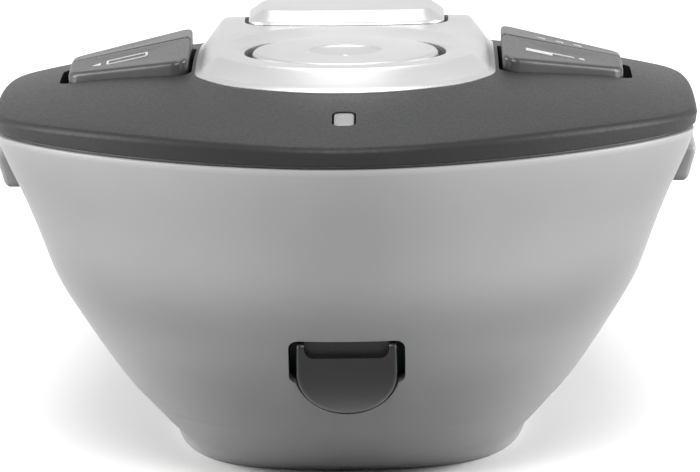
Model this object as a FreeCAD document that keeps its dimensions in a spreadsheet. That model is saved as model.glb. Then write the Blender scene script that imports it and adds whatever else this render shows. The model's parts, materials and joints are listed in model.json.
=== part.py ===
# Wireless presentation clicker.
# The nose points to -Y, the tail to +Y, and the flat foot stands on z = 0.
# A wide shell of grey plastic carries a dark crowned cover, and the cover carries a raised
# silver plate with a tilting thumb disk, a silver key behind it and two dark keys each side.
import FreeCAD, Part
import math
import os
import Sketcher
from FreeCAD import Placement, Rotation, Vector

# Driving sizes in millimetres. Every piece takes its lengths from here.
SIZES = {
    # Outer form
    "body_length": 136.0,
    "body_half_width": 30.0,
    "seam_height": 31.0,
    "bow_rake": 27.0,
    "tail_rake": 16.0,
    "side_wall": 1.8,
    "floor_wall": 2.0,
    "deck_wall": 1.8,
    # Seam between shell and cover, with its lap joint
    "seam_gap": 0.3,
    "seam_bend_from_nose": 22.0,
    "seam_softness": 40.0,
    "lap_height": 1.2,
    "lap_inset": 0.9,
    "lap_clearance": 0.05,
    # Crown of the cover
    "crest_over_seam": 5.4,
    "crest_from_nose": 28.0,
    "crest_softness": 20.0,
    "crown_nose_radius": 108.0,
    "crown_cross_radius": 130.0,
    "cover_edge_round": 0.8,
    # Raised silver plate
    "disk_from_nose": 27.3,
    "plate_nose_radius": 13.3,
    "plate_half_width": 12.5,
    "plate_rear_from_nose": 56.0,
    "plate_corner": 4.0,
    "plate_over_seam": 6.3,
    "plate_fall_from_nose": 43.5,
    "plate_bevel": 1.8,
    "plate_flare": 0.45,
    "plate_cheek": 5.0,
    "plate_fall_radius": 36.0,
    "plate_seat": 1.5,
    "plate_thickness": 1.6,
    "plate_skirt": 1.2,
    "plate_skirt_depth": 2.6,
    # Thumb disk and its cross joint
    "disk_radius": 8.06,
    "disk_gap": 0.68,
    "disk_below_plate": 0.2,
    "disk_thickness": 1.7,
    "dimple_radius": 3.1,
    "dimple_depth": 0.5,
    "disk_boss_radius": 0.6,
    "pivot_over_seam": 2.0,
    "pivot_block": 3.6,
    "pivot_pin_radius": 0.7,
    "pivot_pin_clearance": 0.05,
    "fork_inner": 2.4,
    "fork_thickness": 1.2,
    "fork_width": 3.2,
    "base_inner_radius": 5.2,
    "base_outer_radius": 6.4,
    "base_rim_over_pivot": 1.3,
    "base_floor": 1.0,
    # Silver key behind the disk
    "rear_key_half_width": 8.65,
    "rear_key_front_from_nose": 40.1,
    "rear_key_depth": 10.6,
    "rear_key_over_seam": 7.5,
    "rear_key_bottom_over_seam": 4.0,
    "rear_key_bevel_out": 1.25,
    "rear_key_bevel_down": 1.15,
    "rear_key_corner": 1.5,
    "rear_key_bow": 0.75,
    "rear_key_cheek": 2.4,
    "rear_key_fall_from_nose": 47.5,
    "rear_key_fall_radius": 10.0,
    "rear_key_gap": 0.4,
    # Four dark keys, two on each side of the plate
    "key_from_plate": 1.1,
    "key_from_flank": 5.9,
    "key_front_inner_from_nose": 23.4,
    "key_front_outer_from_nose": 29.4,
    "key_split_inner_from_nose": 34.2,
    "key_split_outer_from_nose": 34.9,
    "key_rear_inner_from_nose": 44.2,
    "key_rear_outer_from_nose": 40.0,
    "key_corner": 1.0,
    "key_gap": 0.35,
    "key_end_gap": 0.8,
    "key_top_over_seam": 6.4,
    "key_floor_over_seam": 1.0,
    "key_edge_chamfer": 0.3,
    # Push switches and the board
    "board_under_seam": 3.0,
    "board_thickness": 1.2,
    "board_from_flank": 5.7,
    "board_nose_from_nose": 5.4,
    "board_side_from_nose": 24.0,
    "board_rear_from_nose": 64.5,
    "switch_side": 4.6,
    "switch_height": 1.8,
    "plunger_radius": 1.2,
    "plunger_height": 0.5,
    "press_travel": 0.4,
    "press_slack": 0.1,
    "stem_radius": 1.5,
    "front_switch_from_outer": 5.5,
    "front_switch_from_nose": 29.6,
    "rear_switch_from_outer": 6.1,
    "rear_switch_from_nose": 38.2,
    # Light window and lamp
    "window_front_from_nose": 5.4,
    "window_length": 3.1,
    "window_half_width": 0.87,
    "window_corner": 0.5,
    "window_gap": 0.14,
    "window_below": 0.06,
    "lamp_length": 2.0,
    "lamp_width": 1.3,
    "lamp_height": 1.1,
    "lamp_air": 0.3,
    # Trigger under the nose
    "trigger_half_width": 4.25,
    "trigger_bottom": 8.2,
    "trigger_top": 15.2,
    "trigger_opening_top": 15.4,
    "trigger_opening_half_width": 4.95,
    "trigger_opening_shoulder": 11.1,
    "trigger_opening_round": 0.8,
    "trigger_gap": 0.3,
    "trigger_pivot_height": 17.4,
    "trigger_pivot_from_nose": 11.5,
    "trigger_eye_radius": 2.0,
    "trigger_brow_from_nose": 6.4,
    "trigger_lip_from_nose": 11.1,
    "trigger_heel_from_nose": 13.6,
    "trigger_neck_from_nose": 10.2,
    "trigger_back_from_nose": 13.2,
    "trigger_face_radius": 12.0,
    "trigger_scoop_floor": 13.9,
    "trigger_scoop_depth": 1.5,
    "trigger_scoop_half_width": 3.6,
    "trigger_scoop_round": 0.8,
    "trigger_pin_radius": 0.75,
    "trigger_pin_half_length": 6.9,
    "trigger_pin_clearance": 0.05,
    "bracket_inner": 5.1,
    "bracket_thickness": 1.8,
    "bracket_reach": 3.4,
    # Small upright board with the trigger's switch
    "riser_front_from_nose": 19.4,
    "riser_thickness": 1.0,
    "riser_half_width": 7.2,
    "riser_bottom": 9.6,
    "riser_top": 20.0,
    "riser_rib": 1.2,
    "riser_rib_cover": 0.9,
    "riser_clearance": 0.05,
    "header_half_width": 4.0,
    "header_depth": 2.4,
    "micro_half_width": 3.2,
    "micro_bottom": 10.6,
    "micro_top": 15.0,
    "micro_depth": 3.8,
    "micro_plunger_radius": 0.8,
    "micro_plunger_length": 1.6,
    # Push keys on the flanks, just under the cover
    "side_key_bottom_under_seam": 5.2,
    "side_key_top_under_seam": 2.0,
    "side_key_front_from_nose": 24.0,
    "side_key_length": 16.0,
    "side_key_proud": 1.2,
    "side_key_gap": 0.15,
    "side_key_flange": 0.6,
    "side_key_flange_reach": 0.6,
    "side_key_flange_clearance": 0.1,
    "side_stem_bottom_under_seam": 5.3,
    "side_stem_top_under_seam": 4.4,
    "side_stem_length": 2.0,
    "side_stem_from_flank": 6.1,
    "side_switch_body": 3.2,
    "side_switch_height": 1.6,
    # Battery bay: two AAA cells side by side
    "cell_radius": 5.2,
    "cell_length": 43.5,
    "cell_nub_radius": 1.9,
    "cell_nub_length": 1.0,
    "cell_gap": 0.7,
    "cell_side_air": 0.45,
    "cell_axis_height": 8.15,
    "cell_front_from_nose": 61.1,
    "cell_roof_air": 0.5,
    "leaf_thickness": 0.4,
    "leaf_spring": 1.05,
    "leaf_rise": 2.65,
    "leaf_half_width": 1.25,
    "leaf_foot": 0.7,
    "bridge_half_width": 9.6,
    "tray_wall": 1.2,
    "tray_foot": 1.0,
    "tray_foot_height": 2.0,
    "tray_foot_length": 38.0,
    "tray_slot_gap": 0.2,
    "tray_over_door": 0.3,
    "tray_rise": 0.6,
    # Battery door in the foot
    "door_half_width": 12.5,
    "door_front_from_nose": 54.0,
    "door_lip_height": 5.0,
    "door_gap": 0.1,
    "door_rail": 0.7,
    "door_rail_bottom": 0.85,
    "door_rail_height": 0.7,
    "door_rail_length": 38.0,
    "door_tongue_half_width": 5.0,
    "door_tongue_reach": 2.0,
    "door_tongue_height": 0.6,
    "door_tongue_clearance": 0.05,
    "grip_half_width": 6.0,
    "grip_from_nose": 60.0,
    "grip_rib": 0.8,
    "grip_pitch": 2.0,
    "grip_depth": 0.5,
    # Screws and the posts that take them
    "case_screw_x": 10.5,
    "case_screw_from_nose": 55.5,
    "case_post_radius": 2.6,
    "pad_bottom": 5.5,
    "pad_top": 8.0,
    "pad_front_from_nose": 49.5,
    "bulkhead_thickness": 2.0,
    "flange_thickness": 1.2,
    "case_screw_radius": 1.0,
    "case_screw_length": 15.0,
    "case_head_radius": 1.9,
    "case_head_height": 1.3,
    "screw_clearance": 0.06,
    "post_clearance": 0.05,
    "board_screw_from_flank": 13.0,
    "board_screw_front_from_nose": 18.0,
    "board_screw_rear_from_nose": 52.0,
    "board_post_radius": 2.2,
    "board_screw_radius": 0.8,
    "board_screw_length": 4.4,
    "board_head_radius": 1.6,
    "board_head_height": 1.1,
    "board_hole_clearance": 0.4,
    # Parts on the board
    "shield_half_width": 6.3,
    "shield_depth": 11.0,
    "shield_front_from_nose": 50.5,
    "shield_height": 2.2,
    "shield_wall": 0.3,
    "chip_side": 7.0,
    "chip_height": 1.0,
    "chip_from_nose": 15.5,
    "crystal_length": 3.2,
    "crystal_width": 2.5,
    "crystal_height": 0.9,
    "crystal_x": 8.0,
    "antenna_length": 7.0,
    "antenna_width": 2.0,
    "antenna_height": 1.2,
    "antenna_x": -8.0,
    "antenna_from_nose": 11.0,
    # How far every cutting shape runs past what it cuts
    "overrun": 2.0,
}

# Slopes and fullness of the free curves, as plain ratios
TAIL_SLOPE_SHARE = 0.165
SEAM_SLOPE_SHARE = 0.155
TAIL_FULLNESS_SHARE = 0.90
TAIL_REACH_SHARE = 0.52
KEY_CROSS_TILT = 12.2
KEY_FRONT_TILT = 2.7
KEY_REAR_TILT = -4.0

# Plan outlines of the outer form, from the foot up. Shares of: seam_height, bow_rake,
# body_half_width, body_length (widest point from the nose), tail_rake, and two handle shares
# that say how blunt the nose is and how straight the cheek runs.
LEVEL_SHARES = (
    (0.000, 1.000, 0.533, 0.620, 1.000, 1.080, 0.780),
    (0.039, 0.852, 0.560, 0.559, 0.688, 0.920, 0.730),
    (0.103, 0.696, 0.600, 0.463, 0.469, 0.840, 0.670),
    (0.155, 0.603, 0.630, 0.402, 0.359, 0.804, 0.623),
    (0.210, 0.522, 0.660, 0.349, 0.281, 0.780, 0.580),
    (0.274, 0.440, 0.693, 0.305, 0.209, 0.757, 0.548),
    (0.339, 0.370, 0.723, 0.272, 0.156, 0.730, 0.520),
    (0.410, 0.300, 0.755, 0.236, 0.105, 0.668, 0.471),
    (0.484, 0.237, 0.787, 0.206, 0.062, 0.600, 0.420),
    (0.561, 0.182, 0.817, 0.184, 0.025, 0.559, 0.384),
    (0.639, 0.137, 0.847, 0.169, 0.000, 0.530, 0.360),
    (0.806, 0.070, 0.917, 0.162, 0.000, 0.490, 0.340),
    (1.000, 0.015, 1.000, 0.162, 0.000, 0.467, 0.333),
    (1.240, 0.004, 1.003, 0.162, 0.000, 0.467, 0.333),
)
# The hidden inner walls follow fewer of them
INNER_LEVELS = tuple(LEVEL_SHARES[number] for number in (0, 2, 6, 10, 12, 13))
CROWN_ROWS = 13
TURN_ARCS = 3
SEAM_POINTS = 15

doc = FreeCAD.newDocument("Clicker")
sheet = doc.addObject("Spreadsheet::Sheet", "Sizes")
for row, (alias, value) in enumerate(SIZES.items(), start=1):
    sheet.set("A%d" % row, str(value))
    sheet.setAlias("A%d" % row, alias)
doc.recompute()


class Size:
    """A length that carries both its number and the expression that gives it."""

    def __init__(self, number, text):
        self.number = number
        self.text = text

    def __float__(self):
        return float(self.number)

    def __add__(self, other):
        return Size(float(self) + float(other), "(%s + %s)" % (self.text, text_of(other)))

    def __radd__(self, other):
        return Size(float(other) + float(self), "(%s + %s)" % (text_of(other), self.text))

    def __sub__(self, other):
        return Size(float(self) - float(other), "(%s - %s)" % (self.text, text_of(other)))

    def __rsub__(self, other):
        return Size(float(other) - float(self), "(%s - %s)" % (text_of(other), self.text))

    def __mul__(self, other):
        return Size(float(self) * float(other), "(%s * %s)" % (self.text, text_of(other)))

    __rmul__ = __mul__

    def __truediv__(self, other):
        return Size(float(self) / float(other), "(%s / %s)" % (self.text, text_of(other)))

    def __neg__(self):
        return Size(-float(self), "(-%s)" % self.text)


def root(value):
    """Square root of a size."""
    return Size(math.sqrt(float(value)), "sqrt(%s)" % text_of(value))


def text_of(value):
    """The expression of a size, or the plain digits of a number."""
    return value.text if isinstance(value, Size) else repr(float(value))


class Sheet:
    """Gives each cell of the sheet as a Size, by its alias."""

    def __getattr__(self, alias):
        return Size(sheet.get(alias), "Sizes." + alias)


S = Sheet()
NOSE = -S.body_length / 2
PARTS = {}

# Heights that follow the seam, and widths that follow the flank or the plate
CREST_TOP = S.seam_height + S.crest_over_seam
PLATE_TOP = S.seam_height + S.plate_over_seam
PIVOT_HEIGHT = S.seam_height + S.pivot_over_seam
REAR_KEY_TOP = S.seam_height + S.rear_key_over_seam
REAR_KEY_BOTTOM = S.seam_height + S.rear_key_bottom_over_seam
KEY_TOP = S.seam_height + S.key_top_over_seam
KEY_FLOOR = S.seam_height + S.key_floor_over_seam
BOARD_TOP = S.seam_height - S.board_under_seam
BOARD_BOTTOM = BOARD_TOP - S.board_thickness
SWITCH_TOP = BOARD_TOP + S.switch_height + S.plunger_height
SIDE_KEY_BOTTOM = S.seam_height - S.side_key_bottom_under_seam
SIDE_KEY_TOP = S.seam_height - S.side_key_top_under_seam
SIDE_STEM_BOTTOM = S.seam_height - S.side_stem_bottom_under_seam
SIDE_STEM_TOP = S.seam_height - S.side_stem_top_under_seam
SIDE_STEM_TIP_X = S.body_half_width - S.side_stem_from_flank
KEY_INNER_X = S.plate_half_width + S.key_from_plate
KEY_OUTER_X = S.body_half_width - S.key_from_flank
FRONT_SWITCH_X = KEY_OUTER_X - S.front_switch_from_outer
REAR_SWITCH_X = KEY_OUTER_X - S.rear_switch_from_outer
BOARD_HALF_WIDTH = S.body_half_width - S.board_from_flank
BOARD_SCREW_X = S.body_half_width - S.board_screw_from_flank


def at(from_nose):
    """The y of a place measured from the nose."""
    return NOSE + from_nose


def bind(target, path, value):
    """Ties a property to the sheet, or sets it where the value is a plain number."""
    target.setExpression(path, text_of(value))


def place(target, x=0, y=0, z=0, rotation=Rotation()):
    target.Placement = Placement(Vector(float(x), float(y), float(z)), rotation)
    for axis, value in zip("xyz", (x, y, z)):
        bind(target, "Placement.Base." + axis, value)
    return target


ALONG = {"X": Rotation(Vector(0, 1, 0), 90), "Y": Rotation(Vector(1, 0, 0), -90), "Z": Rotation()}


def block(name, x, y, z):
    """A box between two places on each axis."""
    box = doc.addObject("Part::Box", name)
    for side, (low, high) in zip(("Length", "Width", "Height"), (x, y, z)):
        bind(box, side, high - low)
    return place(box, x[0], y[0], z[0])


def rod(name, radius, length, x=0, y=0, z=0, along="Z"):
    """A cylinder that starts at a place and runs along an axis."""
    cylinder = doc.addObject("Part::Cylinder", name)
    bind(cylinder, "Radius", radius)
    bind(cylinder, "Height", length)
    return place(cylinder, x, y, z, ALONG[along])


def held(name, shape):
    """A free form, made by code because neither sketches nor primitives fit it."""
    feature = doc.addObject("Part::Feature", name)
    feature.Shape = shape
    return feature


def fuse(name, *pieces):
    joined = doc.addObject("Part::MultiFuse", name)
    joined.Shapes = list(pieces)
    return joined


def common(name, *pieces):
    shared = doc.addObject("Part::MultiCommon", name)
    shared.Shapes = list(pieces)
    return shared


def cut(name, base, *tools):
    result = doc.addObject("Part::Cut", name)
    result.Base = base
    result.Tool = tools[0] if len(tools) == 1 else fuse(name + "Tools", *tools)
    return result


def group(name, *pieces):
    """Separate solids that share one node."""
    bundle = doc.addObject("Part::Compound", name)
    bundle.Links = list(pieces)
    return bundle


def part(node, target):
    """Names the finished piece and puts it on the list that is written out."""
    target.Label = node
    PARTS[node] = target
    return target


def body_for(name):
    return doc.addObject("PartDesign::Body", name)


def sketch_on(body, plane, name, offset=0):
    """An empty sketch on one of the body's origin planes, lifted along the plane's normal."""
    sketch = body.newObject("Sketcher::SketchObject", name)
    support = [feature for feature in body.Origin.OriginFeatures if feature.Role == plane][0]
    sketch.AttachmentSupport = [(support, "")]
    sketch.MapMode = "FlatFace"
    sketch.AttachmentOffset = Placement(Vector(0, 0, float(offset)), Rotation())
    bind(sketch, "AttachmentOffset.Base.z", offset)
    return sketch


def arc_between(start, end, radius):
    """The arc from start to end. A positive radius keeps the centre on the left."""
    chord = end - start
    half = chord.Length / 2
    side = Vector(-chord.y, chord.x, 0).normalize()
    reach = math.sqrt(max(radius * radius - half * half, 0.0))
    centre = (start + end) / 2 + side * math.copysign(reach, radius)
    first, last = (start, end) if radius > 0 else (end, start)
    low = math.atan2(first.y - centre.y, first.x - centre.x)
    high = math.atan2(last.y - centre.y, last.x - centre.x)
    circle = Part.Circle(centre, Vector(0, 0, 1), abs(radius))
    return Part.ArcOfCircle(circle, low, high if high > low else high + 2 * math.pi)


def add_path(sketch, path):
    """A closed outline. Each entry is (u, v) or (u, v, radius of the arc to the next entry)."""
    points = [Vector(float(entry[0]), float(entry[1]), 0) for entry in path]
    ends = []
    for index, entry in enumerate(path):
        start, end = points[index], points[(index + 1) % len(path)]
        if len(entry) == 3:
            number = sketch.addGeometry(arc_between(start, end, float(entry[2])))
            ends.append((number, 1, 2) if float(entry[2]) > 0 else (number, 2, 1))
            size = abs(float(entry[2]))
            mark = sketch.addConstraint(Sketcher.Constraint("Radius", number, size))
            radius = entry[2] if float(entry[2]) > 0 else -entry[2]
            sketch.setExpression("Constraints[%d]" % mark, text_of(radius))
        else:
            number = sketch.addGeometry(Part.LineSegment(start, end))
            ends.append((number, 1, 2))
    for index, entry in enumerate(path):
        number, first, last = ends[index]
        following = ends[(index + 1) % len(path)]
        sketch.addConstraint(
            Sketcher.Constraint("Coincident", number, last, following[0], following[1]))
        for kind, value in zip(("DistanceX", "DistanceY"), entry[:2]):
            mark = sketch.addConstraint(
                Sketcher.Constraint(kind, -1, 1, number, first, float(value)))
            sketch.setExpression("Constraints[%d]" % mark, text_of(value))


def pad(body, sketch, length, centred=False):
    feature = body.newObject("PartDesign::Pad", sketch.Name + "Pad")
    feature.Profile = sketch
    feature.SideType = "Symmetric" if centred else "One side"
    bind(feature, "Length", length)
    sketch.Visibility = False
    return feature


def pocket(body, sketch, length, centred=False, reverse=False):
    feature = body.newObject("PartDesign::Pocket", sketch.Name + "Pocket")
    feature.Profile = sketch
    feature.SideType = "Symmetric" if centred else "One side"
    feature.Reversed = reverse
    bind(feature, "Length", length)
    sketch.Visibility = False
    return feature


def prism(name, plane, path, low, high):
    """A body padded from one plane offset to another along the plane's normal."""
    body = body_for(name)
    sketch = sketch_on(body, plane, name + "Sketch", low)
    add_path(sketch, path)
    pad(body, sketch, high - low)
    return body


def rounded(x, y, radius):
    """A rectangle with round corners, drawn anticlockwise."""
    (left, right), (low, high) = x, y
    return [(left + radius, low), (right - radius, low, radius), (right, low + radius),
            (right, high - radius, radius), (right - radius, high),
            (left + radius, high, radius), (left, high - radius),
            (left, low + radius, radius)]


def arc_drop(radius, run):
    """How far an arc that starts level has fallen after a run."""
    return radius - root(radius * radius - run * run)


def crest(y):
    """Height of the crown along the middle: an arc to the nose, a softened slope to the tail."""
    behind = y - float(at(S.crest_from_nose))
    if behind < 0:
        return float(CREST_TOP) - behind ** 2 / (2 * float(S.crown_nose_radius))
    soft = float(S.crest_softness)
    return float(CREST_TOP) - TAIL_SLOPE_SHARE * (math.hypot(behind, soft) - soft)


def crown(x, y):
    """Height of the cover's top face at a place in plan."""
    return crest(y) - x ** 2 / (2 * float(S.crown_cross_radius))


def seam(y):
    """Height of the line where the shell ends: level at the nose, drooping to the tail."""
    behind = max(y - float(at(S.seam_bend_from_nose)), 0.0)
    soft = float(S.seam_softness)
    return float(S.seam_height) - SEAM_SLOPE_SHARE * (math.hypot(behind, soft) - soft)


def spread(low, high, count):
    """Evenly spaced numbers, both ends included."""
    return [low + (high - low) * index / (count - 1) for index in range(count)]


def arcs_along(poles):
    """A free curve drawn as a chain of arcs through points on it."""
    curve = Part.BezierCurve()
    curve.setPoles(poles)
    points = [curve.value(turn) for turn in spread(0.0, 1.0, TURN_ARCS * 2 + 1)]
    return [Part.Arc(*points[first:first + 3]).toShape() for first in range(0, TURN_ARCS * 2, 2)]


def level_outline(shares, inset, lift):
    """One closed plan outline of four free curves that meet smoothly on both axes."""
    height, rake, half, widest, tail, blunt, cheek = shares
    z = height * float(S.seam_height) + lift
    nose_y = float(at(S.bow_rake * rake)) + inset
    tail_y = -float(NOSE) - tail * float(S.tail_rake) - inset
    wide_y = float(at(S.body_length * widest))
    wide_x = half * float(S.body_half_width) - inset
    cheek_y = wide_y - cheek * (wide_y - nose_y)
    reach_y = wide_y + TAIL_REACH_SHARE * (tail_y - wide_y)
    front = ((0, nose_y), (blunt * wide_x, nose_y), (wide_x, cheek_y), (wide_x, wide_y))
    back = ((wide_x, wide_y), (wide_x, reach_y), (TAIL_FULLNESS_SHARE * wide_x, tail_y), (0, tail_y))
    turns = (front, back, [(-x, y) for x, y in back[::-1]], [(-x, y) for x, y in front[::-1]])
    edges = []
    for poles in turns:
        edges += arcs_along([Vector(x, y, z) for x, y in poles])
    return Part.Wire(edges)


def form(name, levels, inset=0.0, lift=0.0):
    """The outer form drawn in by an inset and lifted, as one closed solid."""
    wires = [level_outline(shares, float(inset), float(lift)) for shares in levels]
    return held(name, Part.makeLoft(wires, True, True))


def under_crown(name, depth=0.0, ruled=True):
    """Everything below the crown, or below a face that lies a depth under it."""
    out = float(S.body_half_width + S.overrun)
    past = float(S.overrun)
    sections = []
    for y in spread(float(NOSE) - past, -float(NOSE) + past, CROWN_ROWS):
        left, middle, right = [Vector(x, y, crown(x, y) - float(depth)) for x in (-out, 0, out)]
        low_left, low_right = Vector(-out, y, -past), Vector(out, y, -past)
        sections.append(Part.Wire([Part.Arc(left, middle, right).toShape(),
                                   Part.makeLine(right, low_right),
                                   Part.makeLine(low_right, low_left),
                                   Part.makeLine(low_left, left)]))
    return held(name, Part.makeLoft(sections, True, ruled))


def under_seam(name, offset=0.0):
    """Everything below the seam, or below a face that lies an offset over it."""
    past = float(S.overrun)
    ys = spread(float(NOSE) - past, -float(NOSE) + past, SEAM_POINTS)
    line = Part.BSplineCurve()
    line.interpolate([Vector(0, y, seam(y) + float(offset)) for y in ys])
    low = -past
    corners = [line.EndPoint, Vector(0, ys[-1], low), Vector(0, ys[0], low), line.StartPoint]
    edges = [line.toShape()]
    edges += [Part.makeLine(start, end) for start, end in zip(corners, corners[1:])]
    face = Part.Face(Part.Wire(edges))
    out = float(S.body_half_width + S.overrun)
    face.translate(Vector(-out, 0, 0))
    return held(name, face.extrude(Vector(2 * out, 0, 0)))


# Free forms that several pieces share
outer_form = form("OuterForm", LEVEL_SHARES)
lap_form = form("LapForm", INNER_LEVELS, S.lap_inset + S.lap_clearance, S.lap_inset)
rebate_form = form("RebateForm", INNER_LEVELS, S.lap_inset, S.lap_inset)
inner_form = form("InnerForm", INNER_LEVELS, S.side_wall, S.floor_wall)
below_seam = under_seam("BelowSeam")
below_gap = under_seam("BelowGap", S.seam_gap)
below_lap = under_seam("BelowLap", S.lap_height)
below_rebate = under_seam("BelowRebate", S.lap_height + S.seam_gap / 2)
below_crown = under_crown("BelowCrown", ruled=False)
below_deck = under_crown("BelowDeck", S.deck_wall)
WIDE = S.body_half_width + S.side_key_proud + S.overrun
HIGH = CREST_TOP + S.overrun
LEFT_RIGHT = (("Left", -1), ("Right", 1))


def nose_path(middle, radius, half, cheek, corner, rear):
    """A front arc about a middle, a cheek arc into each straight side, round rear corners."""
    far, near = radius - cheek, half - cheek
    drop = root(far * far - near * near)
    touch_x, touch_y = near * radius / far, middle - drop * radius / far
    return [(-touch_x, touch_y, radius), (touch_x, touch_y, cheek), (half, middle - drop),
            (half, rear - corner, corner), (half - corner, rear), (-half + corner, rear, corner),
            (-half, rear - corner), (-half, middle - drop, cheek)]


def plate_path(inset):
    """Plan outline of the silver plate: a round nose about the disk, straight sides."""
    return nose_path(at(S.disk_from_nose), S.plate_nose_radius - inset,
                     S.plate_half_width - inset, S.plate_cheek - inset, S.plate_corner - inset,
                     at(S.plate_rear_from_nose) - inset)


def rear_key_path(inset):
    """Plan outline of the silver key: a bowed front, round cheeks, straight sides."""
    half, bow = S.rear_key_half_width, S.rear_key_bow
    radius = (half * half + bow * bow) / (bow * 2)
    front = at(S.rear_key_front_from_nose)
    return nose_path(front + radius, radius - inset, half - inset, S.rear_key_cheek - inset,
                     S.rear_key_corner - inset / 2, front + S.rear_key_depth - inset)


def key_path(side, row):
    """Plan outline of one dark key."""
    inner, outer = KEY_INNER_X, KEY_OUTER_X
    if row == "Front":
        corners = [(inner, at(S.key_front_inner_from_nose)),
                   (outer, at(S.key_front_outer_from_nose)),
                   (outer, at(S.key_split_outer_from_nose) - S.key_gap / 2),
                   (inner, at(S.key_split_inner_from_nose) - S.key_gap / 2)]
    else:
        corners = [(inner, at(S.key_split_inner_from_nose) + S.key_gap / 2),
                   (outer, at(S.key_split_outer_from_nose) + S.key_gap / 2),
                   (outer, at(S.key_rear_outer_from_nose)),
                   (inner, at(S.key_rear_inner_from_nose))]
    corners = [(side * x, y) for x, y in corners]
    return corners if side > 0 else corners[::-1]


def well_path(side):
    """The opening that a pair of keys shares: their joint outline plus the running gaps."""
    inner = KEY_INNER_X - S.key_gap
    outer = KEY_OUTER_X + S.key_end_gap
    corners = [(inner, at(S.key_front_inner_from_nose) - S.key_gap),
               (outer, at(S.key_front_outer_from_nose) - S.key_gap),
               (outer, at(S.key_rear_outer_from_nose) + S.key_gap),
               (inner, at(S.key_rear_inner_from_nose) + S.key_gap)]
    corners = [(side * x, y) for x, y in corners]
    return corners if side > 0 else corners[::-1]


def window_path(margin):
    """Plan outline of the light window: square in front, round corners behind."""
    half = S.window_half_width + margin
    front = at(S.window_front_from_nose) - margin
    back = at(S.window_front_from_nose + S.window_length) + margin
    corner = S.window_corner
    return [(-half, front), (half, front), (half, back - corner, corner), (half - corner, back),
            (-half + corner, back, corner), (-half, back - corner)]


BOARD_SCREWS = [(side * BOARD_SCREW_X, at(y)) for side in (-1, 1)
                for y in (S.board_screw_front_from_nose, S.board_screw_rear_from_nose)]
CASE_SCREWS = [(side * S.case_screw_x, at(S.case_screw_from_nose)) for side in (-1, 1)]
REAR_KEY_Y = at(S.rear_key_front_from_nose) + S.rear_key_depth / 2
CASE_POST_FOOT = S.pad_top + S.flange_thickness + S.post_clearance


# Top cover: a crowned shell with a lap joint, wells for the keys and posts for the screws
def make_top_cover():
    solid = common("CoverBlank", outer_form, below_crown)
    hollow = common("CoverHollow", inner_form, below_deck)
    rebate = common("CoverRebate", rebate_form, below_rebate)
    shell = cut("CoverShell", solid, below_gap, hollow, rebate)
    posts = []
    for x, y in BOARD_SCREWS:
        posts.append(rod("BoardPost", S.board_post_radius, HIGH - BOARD_TOP, x, y, BOARD_TOP))
    for x, y in CASE_SCREWS:
        posts.append(rod("CasePost", S.case_post_radius, HIGH - CASE_POST_FOOT, x, y, CASE_POST_FOOT))
    under = under_crown("PostTrim", S.deck_wall / 2)
    posts = common("CoverPosts", fuse("PostSet", *posts), under)
    holes = [prism("PlateOpening", "XY_Plane", plate_path(S.plate_seat), BOARD_TOP, HIGH)]
    for name, side in LEFT_RIGHT:
        holes.append(prism("KeyWell" + name, "XY_Plane", well_path(side), BOARD_TOP, HIGH))
    holes.append(prism("WindowHole", "XY_Plane", window_path(S.window_gap), BOARD_TOP, HIGH))
    pilots = [rod("BoardPilot", S.board_screw_radius + S.screw_clearance,
                  S.board_screw_length - S.board_thickness + S.overrun / 2,
                  x, y, BOARD_TOP - S.overrun / 4) for x, y in BOARD_SCREWS]
    pilots += [rod("CasePilot", S.case_screw_radius + S.screw_clearance,
                   S.case_screw_length, x, y, CASE_POST_FOOT - S.overrun / 4)
               for x, y in CASE_SCREWS]
    return part("top_cover", cut("TopCover", fuse("CoverBody", shell, posts), *holes, *pilots))


def trigger_opening():
    """The mouth in the nose: a rounded slot with a bowl below it that clears the lever."""
    low, high = NOSE - S.overrun, at(S.trigger_heel_from_nose + S.overrun)
    half, r = S.trigger_opening_half_width, S.trigger_opening_round
    floor, top = S.trigger_opening_shoulder, S.trigger_opening_top
    slot = [(-half + r, floor), (half - r, floor, r), (half, floor + r), (half, top),
            (-half, top), (-half, floor + r, r)]
    bowl_radius = S.trigger_half_width + S.trigger_gap
    bowl_z = S.trigger_bottom + S.trigger_half_width
    slot = prism("TriggerSlot", "XZ_Plane", slot, -high, -low)
    bowl = rod("TriggerBowl", bowl_radius, high - low, 0, low, bowl_z, along="Y")
    return [slot, bowl]


def door_space(margin):
    """The straight run that the battery door fills: a wide strip with a rail each side."""
    half = S.door_half_width + margin
    front = at(S.door_front_from_nose) - margin
    back = -NOSE + S.overrun
    strip = block("DoorStrip", (-half, half), (front, back), (-S.overrun, S.door_lip_height + margin))
    return strip, front, back


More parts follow.
